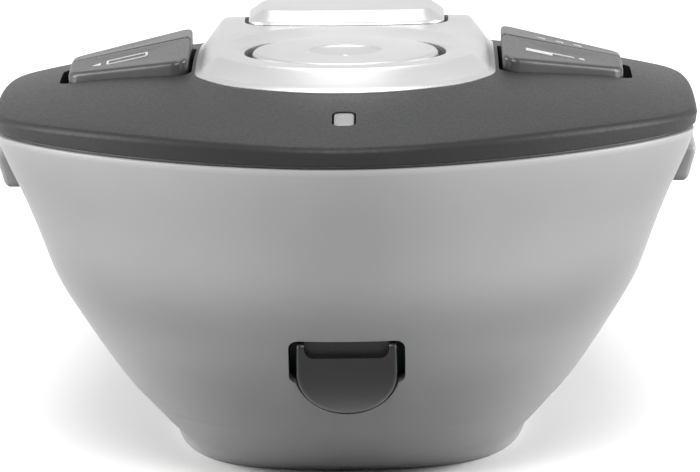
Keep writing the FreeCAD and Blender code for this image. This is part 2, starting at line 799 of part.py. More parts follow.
# Lower shell: the grey hull, a hollow moulding with lap tongue, brackets and battery bay
def make_lower_shell():
    hull = cut("HullShell", common("HullBlank", outer_form, below_seam), inner_form)
    tongue = cut("LapTongue", common("LapBlank", lap_form, below_lap), inner_form)
    extras = []
    pivot_y, pivot_z = at(S.trigger_pivot_from_nose), S.trigger_pivot_height
    for name, side in LEFT_RIGHT:
        near, far = S.bracket_inner, S.bracket_inner + S.bracket_thickness
        x = (near, far) if side > 0 else (-far, -near)
        extras.append(block("TriggerBracket" + name, x,
                            (NOSE, pivot_y + S.trigger_eye_radius),
                            (pivot_z - S.bracket_reach, pivot_z + S.trigger_eye_radius)))
        rib_in, rib_out = S.riser_half_width - S.riser_rib_cover, S.riser_half_width + S.riser_rib
        x = (rib_in, rib_out) if side > 0 else (-rib_out, -rib_in)
        riser = at(S.riser_front_from_nose)
        extras.append(block("RiserRib" + name, x,
                            (NOSE, riser + S.riser_thickness + S.riser_rib),
                            (0, S.riser_bottom + S.riser_rib * 3)))
    pad_front = at(S.pad_front_from_nose)
    pad_back = at(S.cell_front_from_nose) - S.leaf_spring - S.leaf_thickness - S.tray_wall
    pad_back = pad_back - S.tray_slot_gap
    extras.append(block("Bulkhead", (-WIDE, WIDE), (pad_front, pad_front + S.bulkhead_thickness),
                        (0, S.pad_top)))
    extras.append(block("ScrewShelf", (-WIDE, WIDE), (pad_front, pad_back), (S.pad_bottom, S.pad_top)))
    trimmed = common("ShellRibs", fuse("RibSet", *extras), lap_form)
    cuts = trigger_opening()
    cuts.append(block("RiserGroove",
                      (-S.riser_half_width - S.riser_clearance, S.riser_half_width + S.riser_clearance),
                      (at(S.riser_front_from_nose) - S.riser_clearance,
                       at(S.riser_front_from_nose) + S.riser_thickness + S.riser_clearance),
                      (S.riser_bottom - S.riser_clearance, S.riser_top)))
    cuts.append(rod("PinBore", S.trigger_pin_radius + S.trigger_pin_clearance / 2,
                    S.trigger_pin_half_length * 2, -S.trigger_pin_half_length, pivot_y, pivot_z, "X"))
    gap = S.side_key_gap
    y = (at(S.side_key_front_from_nose) - gap, at(S.side_key_front_from_nose + S.side_key_length) + gap)
    z = (SIDE_KEY_BOTTOM - gap, SIDE_KEY_TOP + gap)
    cuts.append(block("SideSlotLeft", (-WIDE, -SIDE_STEM_TIP_X + S.overrun), y, z))
    cuts.append(block("SideSlotRight", (SIDE_STEM_TIP_X - S.overrun, WIDE), y, z))
    strip, front, back = door_space(S.door_gap)
    cuts.append(strip)
    reach = S.door_half_width + S.door_rail + S.door_gap
    cuts.append(block("RailGroove", (-reach, reach), (front, back),
                      (S.door_rail_bottom - S.door_gap,
                       S.door_rail_bottom + S.door_rail_height + S.door_gap)))
    for x, y in CASE_SCREWS:
        cuts.append(rod("ShelfHole", S.case_screw_radius + S.screw_clearance,
                        S.pad_top, x, y, S.pad_bottom - S.overrun))
    return part("lower_shell", cut("LowerShell", fuse("HullBody", hull, tongue, trimmed), *cuts))


# Battery door: the strip of foot and tail that slides off rearwards
def make_battery_door():
    strip, front, back = door_space(0)
    skin = cut("DoorSkin", common("DoorBlank", outer_form, strip), inner_form)
    rails = []
    half = S.door_half_width
    low, high = S.door_rail_bottom, S.door_rail_bottom + S.door_rail_height
    rails.append(block("DoorRails", (-half - S.door_rail, half + S.door_rail),
                       (front, front + S.door_rail_length), (low, high)))
    floor = S.floor_wall
    lip_low = floor + S.door_tongue_clearance
    rails.append(block("DoorTongue", (-S.door_tongue_half_width, S.door_tongue_half_width),
                       (front - S.door_tongue_reach, front + S.door_tongue_reach),
                       (lip_low, lip_low + S.door_tongue_height)))
    rails.append(block("DoorTongueRoot", (-S.door_tongue_half_width, S.door_tongue_half_width),
                       (front, front + S.door_tongue_reach), (low, lip_low + S.door_tongue_height)))
    grips = []
    for index in range(4):
        start = at(S.grip_from_nose) + S.grip_pitch * index
        grips.append(block("Grip", (-S.grip_half_width, S.grip_half_width),
                           (start, start + S.grip_rib), (-S.overrun, S.grip_depth)))
    return part("battery_door", cut("BatteryDoor", fuse("DoorBody", skin, *rails), *grips))


def bevelled_loft(body, name, sections):
    """A loft whose straight sides join outlines drawn at two heights."""
    sketches = []
    for index, (z, path) in enumerate(sections):
        outline = sketch_on(body, "XY_Plane", "%sSection%d" % (name, index), z)
        add_path(outline, path)
        sketches.append(outline)
    loft = body.newObject("PartDesign::AdditiveLoft", name + "Loft")
    loft.Profile = sketches[0]
    loft.Sections = sketches[1:]
    loft.Ruled = True
    return loft


def fall_cut(body, name, start, past, top, radius, half):
    """Lets the top fall away rearwards along an arc that starts level."""
    fall = sketch_on(body, "YZ_Plane", name)
    over = top + S.overrun
    add_path(fall, [(past, top - arc_drop(radius, past - start), radius), (start, top),
                    (start, over), (past, over)])
    return pocket(body, fall, half * 2 + S.overrun * 2, centred=True)


# Silver plate: a raised, bevelled deck with a round hole and the rear key's opening
def make_control_plate():
    raised = body_for("ControlPlate")
    foot = PLATE_TOP - S.plate_bevel * 2
    bevelled_loft(raised, "Plate", ((foot, plate_path(-S.plate_flare)),
                                    (PLATE_TOP - S.plate_bevel, plate_path(0)),
                                    (PLATE_TOP, plate_path(S.plate_bevel))))
    past = at(S.plate_rear_from_nose) + S.overrun
    fall_cut(raised, "PlateFall", at(S.plate_fall_from_nose), past, PLATE_TOP,
             S.plate_fall_radius, S.plate_half_width)
    seat = common("PlateSeatCut", prism("PlateSeatRing", "XY_Plane", plate_path(-S.overrun),
                                        BOARD_TOP, PLATE_TOP - S.plate_bevel / 4),
                  below_crown)
    above = cut("PlateAbove", raised, seat)
    inset = S.plate_seat + S.key_gap / 2
    low = PLATE_TOP - S.plate_bevel - S.plate_thickness
    plug = prism("PlatePlug", "XY_Plane", plate_path(inset), low, PLATE_TOP)
    plug = common("PlatePlugTrim", plug, raised)
    skirt_low = low - S.plate_skirt_depth
    skirt = cut("PlateSkirt", prism("SkirtOuter", "XY_Plane", plate_path(inset), skirt_low, low),
                prism("SkirtInner", "XY_Plane", plate_path(inset + S.plate_skirt),
                      skirt_low - S.overrun, low + S.overrun))
    hole = rod("DiskHole", S.disk_radius + S.disk_gap, HIGH - skirt_low,
               0, at(S.disk_from_nose), low - S.overrun / 4)
    half = S.rear_key_half_width + S.rear_key_gap
    front = at(S.rear_key_front_from_nose) - S.rear_key_gap
    y = (front, at(S.rear_key_front_from_nose) + S.rear_key_depth + S.rear_key_gap)
    window = prism("RearKeyHole", "XY_Plane", rounded((-half, half), y, S.rear_key_corner),
                   low - S.overrun, HIGH)
    return part("control_plate", cut("Plate", fuse("PlateBody", above, plug, skirt), hole, window))


# Thumb disk: dished, with a fork underneath that straddles the pivot block
def make_nav_disk():
    y = at(S.disk_from_nose)
    top = PLATE_TOP - S.disk_below_plate
    body = body_for("DiskTop")
    sketch = sketch_on(body, "XZ_Plane", "DiskProfile", -y)
    edge = S.disk_thickness / 4
    under = top - S.disk_thickness
    rise = S.dimple_depth
    add_path(sketch, [(0, under), (S.disk_radius, under), (S.disk_radius, top - edge),
                      (S.disk_radius - edge, top), (S.dimple_radius, top),
                      (S.dimple_radius - rise, top - rise), (S.disk_boss_radius, top - rise),
                      (S.disk_boss_radius / 2, top - rise / 2), (0, top - rise / 2)])
    turn = body.newObject("PartDesign::Revolution", "DiskTurn")
    turn.Profile = sketch
    turn.ReferenceAxis = (sketch, ["V_Axis"])
    turn.Angle = 360
    doc.recompute()
    ears = []
    foot = PIVOT_HEIGHT - S.fork_width / 2
    for sign in (-1, 1):
        near, far = S.fork_inner, S.fork_inner + S.fork_thickness
        span = (y + near, y + far) if sign > 0 else (y - far, y - near)
        ears.append(block("DiskEar", (-S.fork_width / 2, S.fork_width / 2), span, (foot, under)))
    reach = S.fork_inner + S.fork_thickness + S.overrun
    bore = rod("EarBore", S.pivot_pin_radius + S.pivot_pin_clearance, reach * 2,
               0, y - reach, PIVOT_HEIGHT, "Y")
    return part("nav_disk", cut("NavDisk", fuse("DiskBody", body, *ears), bore))


# Pivot block: a small cross that lets the disk rock both ways
def make_nav_pivot():
    y, z = at(S.disk_from_nose), PIVOT_HEIGHT
    half = S.pivot_block / 2
    core = block("PivotCore", (-half, half), (y - half, y + half), (z - half / 2, z + half / 2))
    long = S.base_outer_radius - S.press_slack
    across = rod("PivotPinX", S.pivot_pin_radius, long * 2, -long, y, z, "X")
    reach = S.fork_inner + S.fork_thickness
    along = rod("PivotPinY", S.pivot_pin_radius, reach * 2, 0, y - reach, z, "Y")
    return part("nav_pivot", fuse("NavPivot", core, across, along))


# Sensor base: a round cup on the board whose wall carries the cross pins
def make_nav_base():
    y, z = at(S.disk_from_nose), BOARD_TOP
    height = PIVOT_HEIGHT + S.base_rim_over_pivot - z
    cup = rod("BaseCup", S.base_outer_radius, height, 0, y, z)
    well = rod("BaseWell", S.base_inner_radius, height, 0, y, z + S.base_floor)
    reach = S.base_outer_radius + S.overrun
    bore = rod("BaseBore", S.pivot_pin_radius + S.pivot_pin_clearance, reach * 2,
               -reach, y, PIVOT_HEIGHT, "X")
    return part("nav_sensor", cut("NavBase", cup, well, bore))


# Silver key behind the disk: bevelled, bowed in front, falling away at the back
def make_rear_button():
    body = body_for("RearKey")
    shoulder = REAR_KEY_TOP - S.rear_key_bevel_down
    bevelled_loft(body, "RearKey", ((shoulder, rear_key_path(0)),
                                    (REAR_KEY_TOP, rear_key_path(S.rear_key_bevel_out))))
    skirt = sketch_on(body, "XY_Plane", "RearKeySkirt", REAR_KEY_BOTTOM)
    add_path(skirt, rear_key_path(0))
    pad(body, skirt, shoulder - REAR_KEY_BOTTOM)
    past = at(S.rear_key_front_from_nose) + S.rear_key_depth + S.rear_key_corner
    fall_cut(body, "RearKeyFall", at(S.rear_key_fall_from_nose), past, REAR_KEY_TOP,
             S.rear_key_fall_radius, S.rear_key_half_width)
    foot = SWITCH_TOP + S.press_travel + S.press_slack
    stem = rod("RearKeyStem", S.stem_radius, REAR_KEY_BOTTOM + S.press_slack - foot,
               0, REAR_KEY_Y, foot)
    return part("rear_button", fuse("RearButton", body, stem))


# One dark key: a block in its well with a tilted face, and a stem over its switch
def make_key(row, name, side):
    node = "key_%s_%s" % (row.lower(), name.lower())
    blank = prism("Key" + row + name, "XY_Plane", key_path(side, row), KEY_FLOOR, HIGH)
    doc.recompute()
    shape = blank.Shape.copy()
    corners = [edge for edge in shape.Edges if edge.BoundBox.ZLength > float(KEY_FLOOR) / 8]
    shape = shape.makeFillet(float(S.key_corner), corners)
    along = KEY_FRONT_TILT if row == "Front" else KEY_REAR_TILT
    turn = Rotation(Vector(0, 1, 0), side * KEY_CROSS_TILT)
    turn = turn.multiply(Rotation(Vector(1, 0, 0), along))
    reach = float(S.body_half_width)
    half_space = Part.makeBox(2 * reach, 2 * reach, reach, Vector(-reach, -reach, 0))
    hinge = Vector(side * float(KEY_INNER_X), float(at(S.key_split_inner_from_nose)),
                   float(KEY_TOP))
    half_space.Placement = Placement(hinge, turn)
    shape = shape.cut(half_space)
    rim = [edge for edge in shape.Edges if edge.BoundBox.ZMin > float(KEY_FLOOR) + float(S.overrun) / 2
           and edge.BoundBox.XLength + edge.BoundBox.YLength > float(S.key_edge_chamfer) / 2]
    shape = shape.makeChamfer(float(S.key_edge_chamfer), rim)
    top = held("KeyTop" + row + name, shape)
    x, y = (FRONT_SWITCH_X, S.front_switch_from_nose)
    if row == "Rear":
        x, y = (REAR_SWITCH_X, S.rear_switch_from_nose)
    foot = SWITCH_TOP + S.press_travel + S.press_slack
    stem = rod("KeyStem" + row + name, S.stem_radius, KEY_FLOOR + S.press_slack - foot,
               side * x, at(y), foot)
    return part(node, fuse("KeyBody" + row + name, top, stem))


# Trigger: a scooped lever hung from a cross pin inside the nose
def make_trigger():
    half = S.trigger_half_width
    pivot_y, pivot_z = at(S.trigger_pivot_from_nose), S.trigger_pivot_height
    brow, lip = at(S.trigger_brow_from_nose), at(S.trigger_lip_from_nose)
    heel, neck = at(S.trigger_heel_from_nose), at(S.trigger_neck_from_nose)
    back, bottom, top = at(S.trigger_back_from_nose), S.trigger_bottom, S.trigger_top
    body = body_for("TriggerLever")
    side = sketch_on(body, "YZ_Plane", "TriggerSide")
    eye = S.trigger_eye_radius
    add_path(side, [(brow, top), (brow, S.trigger_scoop_floor, S.trigger_face_radius),
                    (lip, bottom), (heel, bottom), (back, S.trigger_opening_shoulder),
                    (pivot_y + eye, pivot_z, eye), (pivot_y, pivot_z + eye, eye),
                    (pivot_y - eye, pivot_z), (neck, top)])
    pad(body, side, half * 2, centred=True)
    doc.recompute()
    centre_z = bottom + half
    bowl = prism("TriggerBlank", "XZ_Plane",
                 [(-half, centre_z, half), (0, bottom, half), (half, centre_z),
                  (half, pivot_z + eye + S.overrun),
                  (-half, pivot_z + eye + S.overrun)], -(heel + S.overrun), -(NOSE - S.overrun))
    lever = common("TriggerForm", body, bowl)
    r, wide = S.trigger_scoop_round, S.trigger_scoop_half_width
    floor = S.trigger_scoop_floor
    scoop = prism("TriggerScoop", "XZ_Plane",
                  [(-wide + r, floor), (wide - r, floor, r), (wide, floor + r),
                   (wide, top + S.overrun), (-wide, top + S.overrun), (-wide, floor + r, r)],
                  -(brow + S.trigger_scoop_depth), -(NOSE - S.overrun))
    bore = rod("TriggerBore", S.trigger_pin_radius + S.trigger_pin_clearance, half * 2 + S.overrun,
               -half - S.overrun / 2, pivot_y, pivot_z, "X")
    return part("trigger", cut("Trigger", lever, scoop, bore))


def make_trigger_mechanism():
    pivot_y, pivot_z = at(S.trigger_pivot_from_nose), S.trigger_pivot_height
    part("trigger_pin", rod("TriggerPin", S.trigger_pin_radius, S.trigger_pin_half_length * 2,
                            -S.trigger_pin_half_length, pivot_y, pivot_z, "X"))
    front = at(S.riser_front_from_nose)
    part("trigger_board", block("Riser", (-S.riser_half_width, S.riser_half_width),
                                (front, front + S.riser_thickness), (S.riser_bottom, S.riser_top)))
    middle = front + S.riser_thickness / 2
    part("board_header", block("Header", (-S.header_half_width, S.header_half_width),
                               (middle - S.header_depth / 2, middle + S.header_depth / 2),
                               (S.riser_top, BOARD_BOTTOM)))
    case = block("MicroCase", (-S.micro_half_width, S.micro_half_width),
                 (front - S.micro_depth, front), (S.micro_bottom, S.micro_top))
    tip = rod("MicroPlunger", S.micro_plunger_radius, S.micro_plunger_length, 0,
              front - S.micro_depth - S.micro_plunger_length,
              (S.micro_bottom + S.micro_top) / 2, "Y")
    part("trigger_switch", fuse("TriggerSwitch", case, tip))


# Flank keys: pads through the hull wall with an inner flange and a stem
def make_side_keys():
    proud_form = form("ProudForm", LEVEL_SHARES, -S.side_key_proud)
    gap = S.side_key_flange_clearance
    flange_out = form("FlangeOuter", INNER_LEVELS, S.side_wall + gap, S.floor_wall)
    flange_in = form("FlangeInner", INNER_LEVELS, S.side_wall + gap + S.side_key_flange,
                     S.floor_wall)
    y = (at(S.side_key_front_from_nose), at(S.side_key_front_from_nose + S.side_key_length))
    z = (SIDE_KEY_BOTTOM, SIDE_KEY_TOP)
    reach = S.side_key_flange_reach
    middle = (y[0] + y[1]) / 2
    for name, side in LEFT_RIGHT:
        tip = SIDE_STEM_TIP_X
        x = (tip, WIDE) if side > 0 else (-WIDE, -tip)
        window = block("SideKeyBox" + name, x, y, z)
        face = cut("SideKeyFace" + name, common("SideKeyBlank" + name, proud_form, window), flange_in)
        x = (tip - S.overrun, WIDE) if side > 0 else (-WIDE, -tip + S.overrun)
        rim = block("SideKeyRim" + name, x, (y[0] - reach, y[1] + reach), (z[0] - reach, z[1] + reach))
        flange = cut("SideKeyFlange" + name, common("SideRimBlank" + name, flange_out, rim), flange_in)
        x = (tip, tip + S.side_stem_length) if side > 0 else (-tip - S.side_stem_length, -tip)
        half = S.stem_radius
        stem = block("SideKeyStem" + name, x, (middle - half, middle + half),
                     (SIDE_STEM_BOTTOM, SIDE_STEM_TOP))
        part("side_key_" + name.lower(), fuse("SideKey" + name, face, flange, stem))
        slack = S.press_travel + S.press_slack
        push = S.plunger_height
        end = tip - slack
        body_x = (end - push - S.side_switch_body, end - push)
        tip_x = (end - push, end)
        if side < 0:
            body_x, tip_x = (-body_x[1], -body_x[0]), (-tip_x[1], -tip_x[0])
        half = S.switch_side / 2
        case = block("SideCase" + name, body_x, (middle - half, middle + half),
                     (BOARD_BOTTOM - S.side_switch_height, BOARD_BOTTOM))
        half = S.plunger_radius / 2
        nub_z = BOARD_BOTTOM - S.side_switch_height / 2
        nub = block("SideNub" + name, tip_x, (middle - half, middle + half), (nub_z - half, nub_z + half))
        part("side_switch_" + name.lower(), fuse("SideSwitch" + name, case, nub))


# Main board and what stands on it
def board_outline():
    half, nose = BOARD_HALF_WIDTH, at(S.board_nose_from_nose)
    side, rear = at(S.board_side_from_nose), at(S.board_rear_from_nose)
    blunt, cheek = LEVEL_SHARES[-1][5], LEVEL_SHARES[-1][6]
    cheek_y = float(side) - cheek * (float(side) - float(nose))
    z = float(BOARD_BOTTOM)
    edges = []
    for sign in (1, -1):
        out = sign * float(half)
        edges += arcs_along([Vector(0, float(nose), z), Vector(blunt * out, float(nose), z),
                             Vector(out, cheek_y, z), Vector(out, float(side), z)])
        edges.append(Part.makeLine(Vector(out, float(side), z), Vector(out, float(rear), z)))
    edges.append(Part.makeLine(Vector(-float(half), float(rear), z), Vector(float(half), float(rear), z)))
    wire = Part.Wire(Part.__sortEdges__(edges))
    return Part.Face(wire).extrude(Vector(0, 0, float(S.board_thickness)))


def make_board():
    holes = [rod("BoardHole", S.board_screw_radius + S.screw_clearance,
                 S.board_thickness + S.overrun, x, y, BOARD_BOTTOM - S.overrun / 2)
             for x, y in BOARD_SCREWS]
    holes += [rod("PostHole", S.case_post_radius + S.board_hole_clearance,
                  S.board_thickness + S.overrun, x, y, BOARD_BOTTOM - S.overrun / 2)
              for x, y in CASE_SCREWS]
    part("main_board", cut("MainBoard", held("BoardBlank", board_outline()), *holes))


def push_switch(name, x, y):
    half = S.switch_side / 2
    case = block(name + "Case", (x - half, x + half), (y - half, y + half),
                 (BOARD_TOP, BOARD_TOP + S.switch_height))
    knob = rod(name + "Knob", S.plunger_radius, S.plunger_height, x, y, BOARD_TOP + S.switch_height)
    return fuse(name, case, knob)


def make_board_parts():
    for name, side in LEFT_RIGHT:
        front = push_switch("FrontSwitch" + name, side * FRONT_SWITCH_X, at(S.front_switch_from_nose))
        rear = push_switch("RearSwitch" + name, side * REAR_SWITCH_X, at(S.rear_switch_from_nose))
        part("key_switches_" + name.lower(), group("KeySwitches" + name, front, rear))
    part("rear_button_switch", push_switch("SilverSwitch", 0, REAR_KEY_Y))
    top = BOARD_TOP
    half, wall = S.shield_half_width, S.shield_wall
    y = (at(S.shield_front_from_nose), at(S.shield_front_from_nose) + S.shield_depth)
    can = block("ShieldCan", (-half, half), y, (top, top + S.shield_height))
    room = block("ShieldRoom", (-half + wall, half - wall), (y[0] + wall, y[1] - wall),
                 (top - S.overrun, top + S.shield_height - wall))
    part("radio_shield", cut("RadioShield", can, room))

    def chip(node, name, x, y, length, width, height):
        part(node, block(name, (x - length / 2, x + length / 2), (y - width / 2, y + width / 2),
                         (top, top + height)))

    middle = at(S.chip_from_nose)
    chip("controller_chip", "Controller", 0, middle, S.chip_side, S.chip_side, S.chip_height)
    chip("crystal", "Crystal", S.crystal_x, middle, S.crystal_width, S.crystal_length, S.crystal_height)
    chip("antenna", "Antenna", S.antenna_x, at(S.antenna_from_nose),
         S.antenna_length, S.antenna_width, S.antenna_height)
    lamp_y = at(S.window_front_from_nose) + S.window_length / 2
    chip("status_led", "StatusLamp", 0, lamp_y, S.lamp_width, S.lamp_length, S.lamp_height)
    lens_foot = top + S.lamp_height + S.lamp_air
    blank = prism("LensBlank", "XY_Plane", window_path(0), lens_foot, HIGH)
    part("led_window", common("Lens", blank, under_crown("LensTop", S.window_below, ruled=False)))


# Battery bay: tray, cells, spring leaves and the bridge at the tail end
def make_battery_bay():
    cell_y = at(S.cell_front_from_nose)
    cell_x = S.cell_radius + S.cell_gap / 2
    axis = S.cell_axis_height
    lengths = S.cell_length + S.cell_nub_length
    for number, side in ((1, -1), (2, 1)):
        nub_first = side > 0
        start = cell_y + (S.cell_nub_length if nub_first else 0)
        can = rod("CellCan%d" % number, S.cell_radius, S.cell_length, side * cell_x, start, axis, "Y")
        nub_y = cell_y if nub_first else cell_y + S.cell_length - S.press_slack
        nub = rod("CellNub%d" % number, S.cell_nub_radius, S.cell_nub_length + S.press_slack,
                  side * cell_x, nub_y, axis, "Y")
        part("battery_cell_%d" % number, fuse("Cell%d" % number, can, nub))
    inner_half = cell_x + S.cell_radius + S.cell_side_air
    inner_front = cell_y - S.leaf_spring - S.leaf_thickness
    inner_back = cell_y + lengths + S.leaf_spring + S.leaf_thickness
    wall = S.tray_wall
    roof = axis + S.cell_radius + S.cell_roof_air
    bottom = axis - S.cell_radius + S.tray_rise
    solid = block("TrayBlank", (-inner_half - wall, inner_half + wall),
                  (inner_front - wall, inner_back + wall), (bottom, roof + wall))
    room = block("TrayRoom", (-inner_half, inner_half), (inner_front, inner_back),
                 (bottom - S.overrun, roof))
    feet = block("TrayFeet", (-inner_half - wall - S.tray_foot, inner_half + wall + S.tray_foot),
                 (inner_front, inner_front + S.tray_foot_length),
                 (S.floor_wall, S.floor_wall + S.tray_foot_height))
    feet_y = (inner_front - S.overrun, inner_front + S.tray_foot_length + S.overrun)
    feet_gap = block("TrayFeetGap", (-inner_half, inner_half), feet_y, (-S.overrun, roof))
    door_half = S.door_half_width + S.door_gap
    door_gap = block("TrayDoorGap", (-door_half, door_half), feet_y,
                     (-S.overrun, S.floor_wall + S.tray_over_door))
    slab_front = at(S.pad_front_from_nose) + S.bulkhead_thickness
    flange = block("TrayFlange", (-inner_half - wall, inner_half + wall),
                   (slab_front, inner_front - wall + S.press_slack),
                   (S.pad_top, S.pad_top + S.flange_thickness))
    holes = [rod("FlangeHole", S.case_screw_radius + S.screw_clearance, S.flange_thickness * 2,
                 x, y, S.pad_top - S.flange_thickness / 2) for x, y in CASE_SCREWS]
    slots = []
    for side in (-1, 1):
        half = S.leaf_half_width + S.tray_slot_gap
        slots.append(block("LeafSlot", (side * cell_x - half, side * cell_x + half),
                           (inner_front - S.tray_slot_gap, inner_front + S.leaf_thickness + S.tray_slot_gap),
                           (roof - S.overrun, roof + wall + S.overrun)))
    walls = cut("TrayShell", solid, room)
    feet = cut("TrayFootStrips", feet, feet_gap, door_gap)
    part("battery_tray", cut("BatteryTray", fuse("TrayBody", walls, feet, flange), *holes, *slots))

    face, tip, thin = inner_front, S.leaf_spring, S.leaf_thickness
    low, high = axis - S.leaf_rise, axis + S.leaf_rise
    leaf = [(face, low - S.leaf_foot), (face + thin, low - S.leaf_foot), (face + thin, low),
            (face + thin + tip, axis), (face + thin, high), (face + thin, BOARD_BOTTOM),
            (face, BOARD_BOTTOM), (face, high), (face + tip, axis), (face, low)]
    leaves = [prism("Leaf", "YZ_Plane", leaf, side * cell_x - S.leaf_half_width,
                    side * cell_x + S.leaf_half_width) for side in (-1, 1)]
    part("battery_contacts", group("BatteryContacts", *leaves))
    face = inner_back
    bridge = [(face, low - S.leaf_foot), (face, low), (face - tip, axis), (face, high),
              (face, high + S.leaf_foot), (face - thin, high + S.leaf_foot), (face - thin, high),
              (face - thin - tip, axis), (face - thin, low), (face - thin, low - S.leaf_foot)]
    part("battery_bridge", prism("Bridge", "YZ_Plane", bridge, -S.bridge_half_width, S.bridge_half_width))


# Screws: two through the shelf into the cover, four that hold the board
def make_screws():
    def screw(name, x, y, z, radius, length, head_radius, head_height):
        head = rod(name + "Head", head_radius, head_height, x, y, z - head_height)
        shank = rod(name + "Shank", radius, length, x, y, z)
        return fuse(name, head, shank)

    case = [screw("CaseScrew", x, y, S.pad_bottom, S.case_screw_radius, S.case_screw_length,
                  S.case_head_radius, S.case_head_height) for x, y in CASE_SCREWS]
    part("case_screws", group("CaseScrews", *case))
    board = [screw("BoardScrew", x, y, BOARD_BOTTOM, S.board_screw_radius, S.board_screw_length,
                   S.board_head_radius, S.board_head_height) for x, y in BOARD_SCREWS]
    part("board_screws", group("BoardScrews", *board))


make_top_cover()
make_lower_shell()
make_battery_door()
make_control_plate()
make_nav_disk()
make_nav_pivot()
make_nav_base()
make_rear_button()
for row_name in ("Front", "Rear"):
    for side_name, sign in LEFT_RIGHT:
        make_key(row_name, side_name, sign)
make_trigger()
make_trigger_mechanism()
make_side_keys()
make_board()
make_board_parts()
make_battery_bay()
make_screws()
doc.recompute()

# Check every feature and every finished shape before anything is written
for entry in doc.Objects:
    if "Invalid" in entry.State or "Error" in entry.State:
        raise RuntimeError("%s (%s) failed: %s" % (entry.Name, entry.Label, entry.State))
for node, target in PARTS.items():
    shape = target.Shape
    if shape.isNull() or not shape.isValid() or not shape.Solids:
        raise RuntimeError("%s has no sound solid" % node)
    print("%-20s %2d solids %9.2f mm3" % (node, len(shape.Solids), shape.Volume))

os.makedirs("parts", exist_ok=True)
for node, target in PARTS.items():
    target.Shape.exportStep("parts/%s.step" % node)
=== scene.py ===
# %% [markdown]
# # Wireless presentation clicker
# The object is a hand-held clicker of moulded plastic with a silver control plate, seen from
# its nose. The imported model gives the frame: every node, its place and the body it moves with.
# The visible skins could be drawn over it by hand. They are made here from the same outlines
# as the solids, as functions of two parameters, so that both models keep one form. The inner
# pieces keep their solids and get a material.

# %% Frame
import bpy
import json
import math
import numpy as np
from mathutils import Matrix

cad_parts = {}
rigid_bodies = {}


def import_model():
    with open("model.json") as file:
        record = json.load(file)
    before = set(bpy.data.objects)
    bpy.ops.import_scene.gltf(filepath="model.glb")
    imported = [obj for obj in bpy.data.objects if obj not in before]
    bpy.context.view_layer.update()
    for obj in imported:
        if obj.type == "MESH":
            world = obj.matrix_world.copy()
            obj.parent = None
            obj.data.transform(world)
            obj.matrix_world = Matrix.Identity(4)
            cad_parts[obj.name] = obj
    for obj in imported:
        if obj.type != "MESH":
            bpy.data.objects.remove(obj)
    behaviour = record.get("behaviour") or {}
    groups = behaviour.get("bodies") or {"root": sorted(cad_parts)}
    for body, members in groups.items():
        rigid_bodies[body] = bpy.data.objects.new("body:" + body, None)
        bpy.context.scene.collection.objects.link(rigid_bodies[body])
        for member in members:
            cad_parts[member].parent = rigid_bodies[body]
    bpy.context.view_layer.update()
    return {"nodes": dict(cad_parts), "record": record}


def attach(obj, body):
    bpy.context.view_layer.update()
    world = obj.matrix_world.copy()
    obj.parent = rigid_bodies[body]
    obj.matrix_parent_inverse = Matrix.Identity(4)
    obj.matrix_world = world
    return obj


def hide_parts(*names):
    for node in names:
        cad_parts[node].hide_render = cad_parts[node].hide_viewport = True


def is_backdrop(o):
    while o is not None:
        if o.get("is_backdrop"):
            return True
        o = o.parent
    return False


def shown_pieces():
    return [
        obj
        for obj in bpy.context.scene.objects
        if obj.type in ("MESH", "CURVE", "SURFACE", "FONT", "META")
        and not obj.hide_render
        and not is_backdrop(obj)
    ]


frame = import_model()
MM = 0.001
print("frame with", len(frame["nodes"]), "nodes")

# %% [markdown]
# ## Skins from rings of points
# The outside of a moulded part is one even surface. It could be pushed out of a box by hand,
# or left to a subdivision modifier. Here every skin is a stack of rings of points with quads
# between them, because each point then comes from a formula that the solids share.

# %% Skins from rings of points
# Two faces that meet at more than this many degrees have a sharp edge between them
USUAL_ANGLE, SOFT_ANGLE, CRISP_ANGLE = 35.0, 40.0, 32.0


def quads(rows, cols):
    """Faces between neighbouring rows and columns of closed rings, by point number."""
    index = np.arange(rows * cols).reshape(rows, cols)
    after = np.roll(index, -1, axis=1)
    return np.stack([index[:-1], after[:-1], after[1:], index[1:]], axis=-1).reshape(-1, 4)


def smooth(mesh, smooth_angle):
    """Smooth shading, with sharp edges where two faces meet at more than an angle."""
    mesh.polygons.foreach_set("use_smooth", np.ones(len(mesh.polygons), dtype=bool))
    mesh.set_sharp_from_angle(angle=math.radians(smooth_angle))


def volume(mesh):
    """Signed volume: a sixth of the sum of each corner triple's product."""
    mesh.calc_loop_triangles()
    corners = np.empty(len(mesh.loop_triangles) * 3, dtype=np.int64)
    mesh.loop_triangles.foreach_get("vertices", corners)
    points = np.empty(len(mesh.vertices) * 3)
    mesh.vertices.foreach_get("co", points)
    a, b, c = points.reshape(-1, 3)[corners.reshape(-1, 3)].transpose(1, 0, 2)
    return float(np.einsum("ij,ij->i", a, np.cross(b, c)).sum() / 6)


def make_object(name, points, faces, smooth_angle=USUAL_ANGLE):
    """One mesh object from points in millimetres, turned outward, with sharp edges by angle."""
    mesh = bpy.data.meshes.new(name)
    mesh.from_pydata((np.asarray(points) * MM).tolist(), [], [list(map(int, face)) for face in faces])
    mesh.validate()
    smooth(mesh, smooth_angle)
    obj = bpy.data.objects.new(name, mesh)
    bpy.context.scene.collection.objects.link(obj)
    if volume(mesh) < 0:
        mesh.flip_normals()
    return obj


def shell(name, grid, smooth_angle=USUAL_ANGLE):
    """A closed skin from rings of points: quads between the rings, one face over each end."""
    rows, cols, _ = grid.shape
    faces = quads(rows, cols).tolist()
    faces.append(list(range(cols))[::-1])
    faces.append(list(range((rows - 1) * cols, rows * cols)))
    return make_object(name, grid.reshape(-1, 3), faces, smooth_angle)


